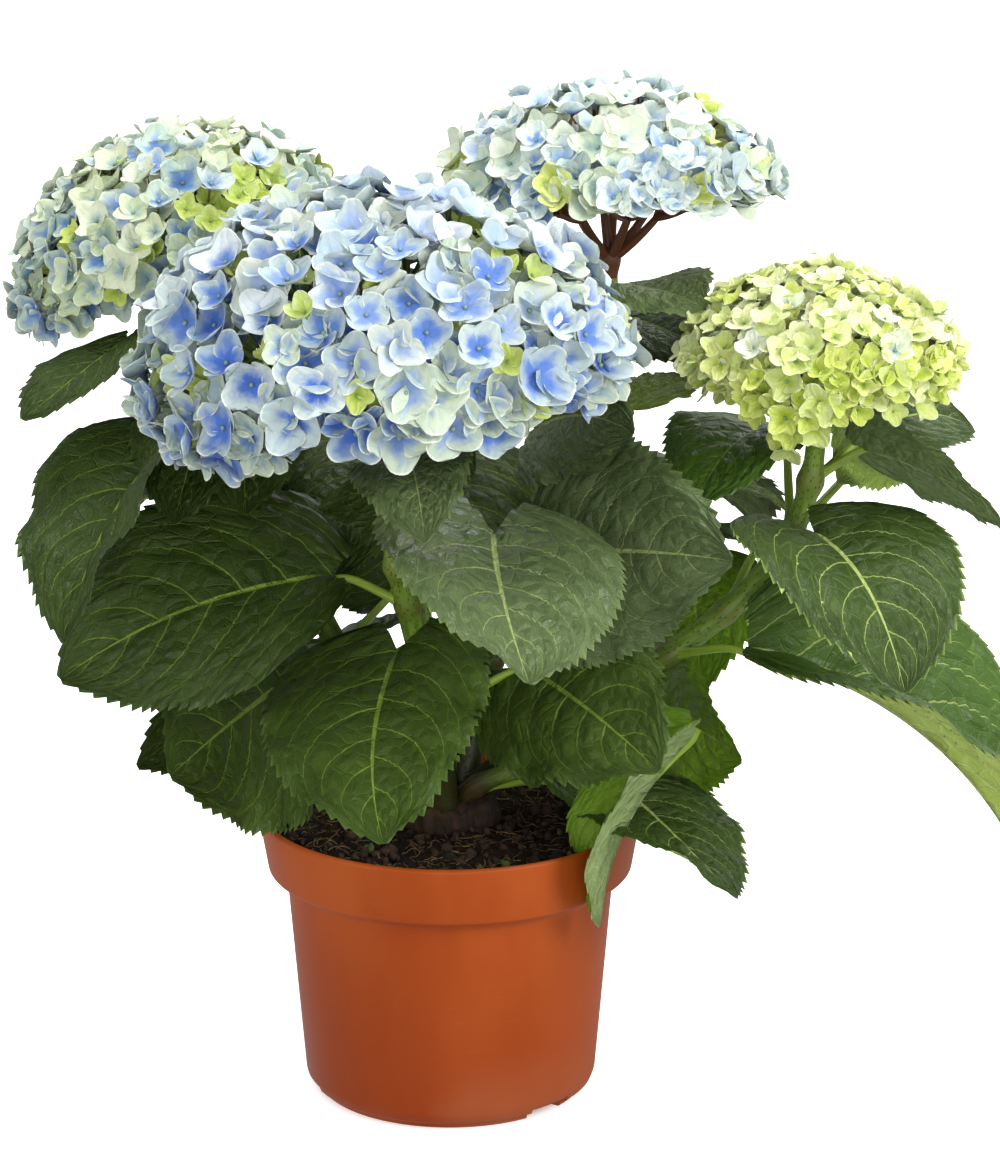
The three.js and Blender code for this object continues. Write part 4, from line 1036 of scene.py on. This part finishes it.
def addFloret(pile, random, middle, out, width, shape, variant, rows, columns):
    # a cup of four broad sepals round a bead, each on its own square of the map: every sepal's midrib is an
    # arc that rises from the foot of the cup, and its sides wrap round the cup
    side = unit(np.cross(out, (0.3, 0.2, 1.0)))
    over = np.cross(out, side)
    spin = random.uniform(0, 2 * pi)
    draw = {key: random.uniform(*value) for key, value in shape.items() if isinstance(value, tuple)}
    t = np.sin(np.linspace(0, pi / 2, rows))[:, None] ** 1.05
    v = np.linspace(-1, 1, columns)[None, :]
    turnWay = random.choice([-1, 1])
    column, row = variant % 4, variant // 4
    steps = np.linspace(0, 1, 25)
    for k in range(4):
        length = 0.6 * width * random.uniform(0.9, 1.1)
        breadth = width * draw["breadth"] * random.uniform(0.93, 1.07)
        slope = draw["low"] + (draw["high"] * random.uniform(0.85, 1.15) - draw["low"]) * steps ** 1.1
        slope = np.radians(slope - draw["curl"] * softStep(0.62, 1, steps))
        reach = np.append(0, np.cumsum(np.cos(slope[1:]) / 24)) * length
        height = np.append(0, np.cumsum(np.sin(slope[1:]) / 24)) * length
        at = t * (1 - 0.3 * np.abs(v) ** draw["point"] * t)
        wide = 0.16 + 0.84 * softStep(-0.08, 0.6, t)
        wide = np.where(t < 0.6, wide, 1 - 0.32 * ((t - 0.6) / 0.4) ** 2)
        b = breadth * wide * v
        lap = 0.035 * turnWay * v * softStep(0, 0.5, t) + 0.014 * (k % 2) * t
        far = np.interp(at, steps, reach) + width * lap
        swing = draw["wrap"] * b / (far + 0.12 * width)
        flat = (1 - draw["wrap"]) * b
        angle = spin + k * pi / 2 + random.uniform(-0.12, 0.12) + swing
        x = far * np.cos(angle) - flat * np.sin(angle)
        y = far * np.sin(angle) + flat * np.cos(angle)
        z = np.interp(at, steps, height)
        z = z + width * shape["wave"] * np.sin(4.5 * v + random.uniform(0, 6)) * t ** 2
        points = middle + x[..., None] * side + y[..., None] * over + z[..., None] * out
        u = (column + 0.5 + 0.46 * v * np.ones_like(t)) / 4
        w = (row + 0.14 + 0.84 * t * np.ones_like(v)) / 4
        addGrid(pile, points, np.stack([u, w], -1))
    # the bead: a closed bud in the middle
    polar = np.linspace(0, pi, 5)[:, None]
    around = np.linspace(0, 2 * pi, 7)[None, :]
    size = width * 0.042 + 0.12
    ball = np.stack([np.sin(polar) * np.cos(around), np.sin(polar) * np.sin(around),
                     0.9 * np.cos(polar) * np.ones_like(around) + 0.55], -1) * size
    points = middle + ball[..., :1] * side + ball[..., 1:2] * over + ball[..., 2:] * out
    u = (column + 0.5 + 0.4 * np.linspace(-1, 1, 7)[None, :] * np.ones((5, 1))) / 4
    w = (row + 0.1 - 0.09 * np.linspace(0, 1, 5)[:, None] * np.ones((1, 7))) / 4
    addGrid(pile, points, np.stack([u, w], -1), flip=True)


def petalMaterial(name, look):
    # fresh sepal: matt velvet with a faint sheen, colour washed out from the middle to a thin cream edge,
    # fine fan veins under a millimetre apart
    material, add = newMaterial(name)
    grid = add("VectorMath.MULTIPLY", add("UVMap", uv_map="OFBake"), (4, 4, 1))
    tile = add("VectorMath.FLOOR", grid)
    parts = add("SeparateXYZ", add("VectorMath.FRACTION", grid), out=None)
    v = add("MapRange", parts[0], 0.04, 0.96, -1.0, 1.0)
    t = add("MapRange", parts[1], 0.14, 0.98)
    size = add("Math.ABSOLUTE", v)
    dealt = add("TexWhiteNoise", tile, noise_dimensions="2D")
    tileParts = add("SeparateXYZ", tile, out=None)
    look = dict(zip(petalParts, look))
    # each floret's tile picks its stage of heart and rim, from painted shade to painted light
    chosen = {}
    for part, number in (("heart", tileParts[0]), ("rim", tileParts[1])):
        colours = look[part].split()
        chosen[part] = add("RGB")
        chosen[part].default_value = linear(colours[0])
        for i, colour in enumerate(colours[1:], 1):
            past = add("Math.GREATER_THAN", number, i - 0.5)
            chosen[part] = add("Mix.RGBA", past, chosen[part], colour)
    # how far the colour of the middle runs out
    wash = add("TexNoise", grid, Scale=1.7, Detail=3, Roughness=0.55)
    wash = add("MapRange", wash, 0.3, 0.7, -0.22, 0.22)
    run = add("MapRange", dealt, 0, 1, look["reach"] - 0.18, look["reach"] + 0.18)
    out = add("Math.ADD", add("Math.MULTIPLY_ADD", size, 0.3, t), wash)
    inside = add("Math.SUBTRACT", run, 0.3)
    share = add("MapRange.SMOOTHSTEP", out, inside, add("Math.ADD", run, 0.3))
    body = add("Mix.RGBA", share, chosen["heart"], chosen["rim"])
    # fan veins
    fan = add("Math.MULTIPLY", v, add("MapRange", t, 0.0, 1.0, 9.0, 15.0))
    fan = add("Math.MULTIPLY_ADD", add("TexNoise", grid, Scale=5, Detail=2), 7.0, fan)
    fan = add("Math.SINE", fan)
    deep = add("Mix.RGBA", add("MapRange", fan, 0.55, 1.0, 0, 0.16), body, chosen["heart"])
    # the base of each sepal is darker round the bead: partly the floret's own deeper colour there, partly
    # painted shade in the foot of the cup
    base = add("MapRange", t, 0.2, 0.02, 0, 0.6)
    body = add("Mix.RGBA", base, deep, add("Mix.RGBA", 0.55, chosen["heart"], look["deep"]))
    # cream edge
    sideEdge = add("MapRange.SMOOTHSTEP", size, 0.84, 0.98)
    sideEdge = add("Math.MULTIPLY", sideEdge, add("MapRange", t, 0.35, 0.75))
    edge = add("Math.MAXIMUM", sideEdge, add("MapRange.SMOOTHSTEP", t, 0.91, 0.99))
    body = add("Mix.RGBA", add("Math.MULTIPLY", edge, 0.8), body, look["edge"])
    bead = add("Math.LESS_THAN", parts[1], 0.12)
    beadColour = add("Mix.RGBA", add("MapRange", parts[1], 0.03, 0.08), *beadColours)
    body = add("Mix.RGBA", bead, body, beadColour)
    bump = add("Bump", Strength=0.35, Distance=0.0003, Height=fan)
    return setSurface(material, {
        "Base Color": body, "Roughness": 0.62, "Specular IOR Level": 0.3, "Sheen Weight": 0.12,
        "Normal": bump,
    })


def rayMaterial(name, look):
    # flower stalks: satin, streaked along their length
    material, add = newMaterial(name)
    long = add("Mapping", add("UVMap", uv_map="OFBake"), Scale=(9, 5, 1))
    streak = add("TexNoise", long, Scale=1, Detail=3)
    body = add("Mix.RGBA", add("MapRange", streak, 0.35, 0.68), look["bark"], look["light"])
    bump = add("Bump", Strength=0.3, Distance=0.0003, Height=streak)
    return setSurface(material, {"Base Color": body, "Roughness": 0.5, "Normal": bump})


def gathered(points, count, random):
    # the points' groups round `count` centres
    centres = points[random.choice(len(points), count, replace=False)]
    for _ in range(12):
        group = np.argmin(np.linalg.norm(points[:, None] - centres[None], axis=-1), axis=1)
        centres = np.array([points[group == k].mean(0) if (group == k).any() else centres[k]
                            for k in range(count)])
    return group, centres


def makeHead(name, head):
    random = np.random.default_rng(head["seed"])
    frameRows = headFrame(head)
    centre = np.array(head["centre"], float)
    golden = 180 * (3 - sqrt(5))
    florets = []
    for layer, count in (("open", head["open"]), ("inner", head["inner"])):
        lowest = np.cos(np.radians(head["reach"] - (0 if layer == "open" else 12)))
        for i in range(count):
            polar = np.degrees(np.arccos(1 - (1 - lowest) * (i + 0.5) / count)) + random.uniform(-2.5, 2.5)
            turn = i * golden + random.uniform(-3, 3) + (0 if layer == "open" else 70)
            kind = random.choice(list(floretShapes), p=head["kinds"])
            size = head["width"] * random.uniform(0.76, 1.14)
            if layer == "inner":
                kind = random.choice(list(floretShapes), p=innerKinds)
            inset = head["sunk"] + (random.uniform(-0.16, 0.2) if layer == "open" else 0.3) * head["width"]
            spot = domePoint(head, polar, turn, inset)
            # the head's lower edge is drawn up, but for the part that hangs
            across, depth, high = spot @ frameRows
            place, spread, deep = head["hang"]
            move = head["lift"] - deep * np.exp(-((across - place) / spread) ** 2)
            spot = spot + np.array([0, 0, move * softStep(0.35 * head["rise"], -0.2 * head["under"], high)])
            # how it lies to someone in front of the plant
            across, depth, high = spot @ frameRows
            seen = np.array([across, 0.28 * depth + 0.96 * high])
            near = min([np.hypot(*(seen - lime)) for lime in head["lime"]], default=99)
            if depth < 20 and near < head.get("limeReach", limeReach) * head["width"]:
                kind = "young"
            if kind == "young":
                size = head["width"] * head["youngSize"] * random.uniform(0.85, 1.25)
            lower = head["rise"] if polar < 90 else head["under"]
            out = unit(spot / np.array([head["half"][0], head["half"][1], lower]) ** 2)
            out = unit(out + random.normal(0, 0.2, 3) + (0, 0, 0.2))
            # painted light and shade: hearts pale towards the crown of the head and darken lower down, as the
            # head's tone sets; rims are dealt round the middle of their row
            light = head["tone"][0] + head["tone"][1] * high / head["rise"]
            heart, rim = np.clip(random.normal((light, light + 0.08), 0.24), 0, 0.99) * 4
            florets.append((spot, out, size, kind, layer, int(heart) + 4 * int(rim)))
    piles = {kind: newPile() for kind in petals[name]}
    for spot, out, size, kind, layer, variant in florets:
        rows, columns = head["grid"] if layer == "open" else (5, 5)
        addFloret(piles[kind], random, centre + spot @ frameRows, out @ frameRows, size, floretShapes[kind],
                  variant, rows, columns)
    for kind, pile in piles.items():
        makePiece(name + "Florets" + kind.capitalize(), pile,
                  petalMaterial(name + " " + kind + " sepals, fresh", petals[name][kind]),
                  ["bloom_" + name])

    # the umbrella of rays below: hub, rays, branches and a stalk to each floret
    rays = newPile()
    hub = np.array([0, 0, rayRule["hub"] - head["drop"]])
    feet = np.array([spot - out * 0.03 * size for spot, out, size, kind, layer, variant in florets])
    ends, branchAt = gathered(feet, max(12, len(feet) // 7), random)
    branchAt = hub + (branchAt - hub) * rayRule["branchAt"]
    limbOf, limbAt = gathered(unit(branchAt - hub), head["limbs"], random)
    limbAt = np.array([hub + (branchAt[limbOf == k].mean(0) - hub) * rayRule["limbAt"]
                       for k in range(head["limbs"])])
    scale = sqrt(head["width"] / 20)

    def addRay(start, end, thick, thin, sides, rows, sag):
        bend = (start + end) / 2 - (0, 0, sag * np.linalg.norm(end[:2] - start[:2]))
        path = centre + onCurve([start, bend, end], np.linspace(0, 1, rows)) @ frameRows
        tone = random.uniform(0, 0.8, 2)
        addTube(rays, path, np.linspace(thick * scale, thin * scale, rows), sides, (*tone, *(tone + 0.2)))

    foot = np.array([0, 0, -head["drop"] - 1.0])
    path = centre + onCurve([foot, hub + (0, 0, 3)], np.linspace(0, 1, 8)) @ frameRows
    swell = np.array([1, 1.02, 1.1, 1.2, 1.22, 1.1, 0.9, 0.5])
    addTube(rays, path, canes[name]["tip"] * swell, 16, (0, 0, 0.3, 0.3))
    for k in range(head["limbs"]):
        addRay(hub - (0, 0, 3), limbAt[k], *rayRule["limb"])
    for k, place in enumerate(branchAt):
        start = limbAt[limbOf[k]]
        addRay(start + (hub - start) * 0.04, place, *rayRule["branch"])
    for k, place in enumerate(feet):
        start = branchAt[ends[k]]
        addRay(start + (hub - start) * 0.03, place, *rayRule["stalk"])
    material = rayMaterial(name + " flower stalks, satin", rayLooks[name])
    makePiece(name + "Rays", rays, material, [])


makePot(pot)
makePeat(peat)
makeCrown(crown)
makeCanes()
makeLeaves()
for name, head in heads.items():
    makeHead(name, head)
print("plant done")


# stage, light and camera

def makeStage():
    mesh = bpy.data.meshes.new("floor")
    far = studio["floor"]
    mesh.from_pydata([(-far, -far, 0), (far, -far, 0), (far, far, 0), (-far, far, 0)], [], [(0, 1, 2, 3)])
    floor = bpy.data.objects.new("floor", mesh)
    bpy.context.scene.collection.objects.link(floor)
    material, add = newMaterial("pale studio floor, matt")
    place = add("TexCoord", out="Object")
    speck = add("TexNoise", place, Scale=30, Detail=3)
    tone = add("Mix.RGBA", speck, "#f6f6f4", "#fafaf8")
    # painted shadow: the floor's glow fades out under the pot's foot, where no light comes in
    away = add("VectorMath.LENGTH", place)
    shade = studio["shadeRadius"]
    glow = add("MapRange", away, shade - 0.006, shade + 0.008, 0, studio["floorGlow"])
    floor.data.materials.append(setSurface(material, {
        "Base Color": tone, "Roughness": 0.9, "Emission Color": "#ffffff", "Emission Strength": glow,
    }))
    # the floor glows but lights nothing, so the plant keeps its shadows below
    floor.visible_diffuse = False
    floor.visible_glossy = False


def addLight(name, place, aim, size, power):
    light = bpy.data.lights.new(name, "AREA")
    light.shape = "DISK"
    light.size = size
    light.energy = power
    lamp = bpy.data.objects.new(name, light)
    lamp.location = place
    lamp.rotation_euler = (Vector(aim) - Vector(place)).to_track_quat("-Z", "Y").to_euler()
    bpy.context.scene.collection.objects.link(lamp)


studio = {"world": "#ffffff", "worldPower": 0.56, "floor": 40, "floorGlow": 0.9, "shadeRadius": 0.047}
# place, aim, width in metres and power in watts
lamps = {
    "key": ((1.75, -1.3, 1.3), (0, 0, 0.2), 1.1, 33),
    "fill": ((-1.7, -1.2, 0.9), (0, 0, 0.2), 1.2, 8.5),
    "front": ((0.1, -2.2, 0.35), (0, 0, 0.15), 1.3, 15),
    "top": ((0.2, 0.3, 2.1), (0, 0, 0.2), 1.4, 27),
    "back": ((0.6, 1.9, 1.2), (0, 0, 0.25), 1.2, 9),
}
makeStage()
world = bpy.data.worlds.new("studio")
world.use_nodes = True
backdrop = next(n for n in world.node_tree.nodes if n.type == "BACKGROUND")
backdrop.inputs[0].default_value = linear(studio["world"])
backdrop.inputs[1].default_value = studio["worldPower"]
bpy.context.scene.world = world
bpy.context.scene.view_settings.view_transform = "Standard"  # colours show as their hex values say
for name, lamp in lamps.items():
    addLight(name, *lamp)

view = {
    "distance": 1.8, "elevation": 16.4, "aim": (0.0182, 0, 0.1904), "lens": 180.3, "sensor": 36, "far": 50,
}
camera = bpy.data.cameras.new("camera")
camera.lens = view["lens"]
camera.sensor_width = view["sensor"]
camera.sensor_fit = "HORIZONTAL"
camera.clip_end = view["far"]
eye = bpy.data.objects.new("camera", camera)
rise = np.radians(view["elevation"])
eye.location = Vector(view["aim"]) + view["distance"] * Vector((0, -np.cos(rise), np.sin(rise)))
eye.rotation_euler = (pi / 2 - rise, 0, 0)
bpy.context.scene.collection.objects.link(eye)
bpy.context.scene.camera = eye
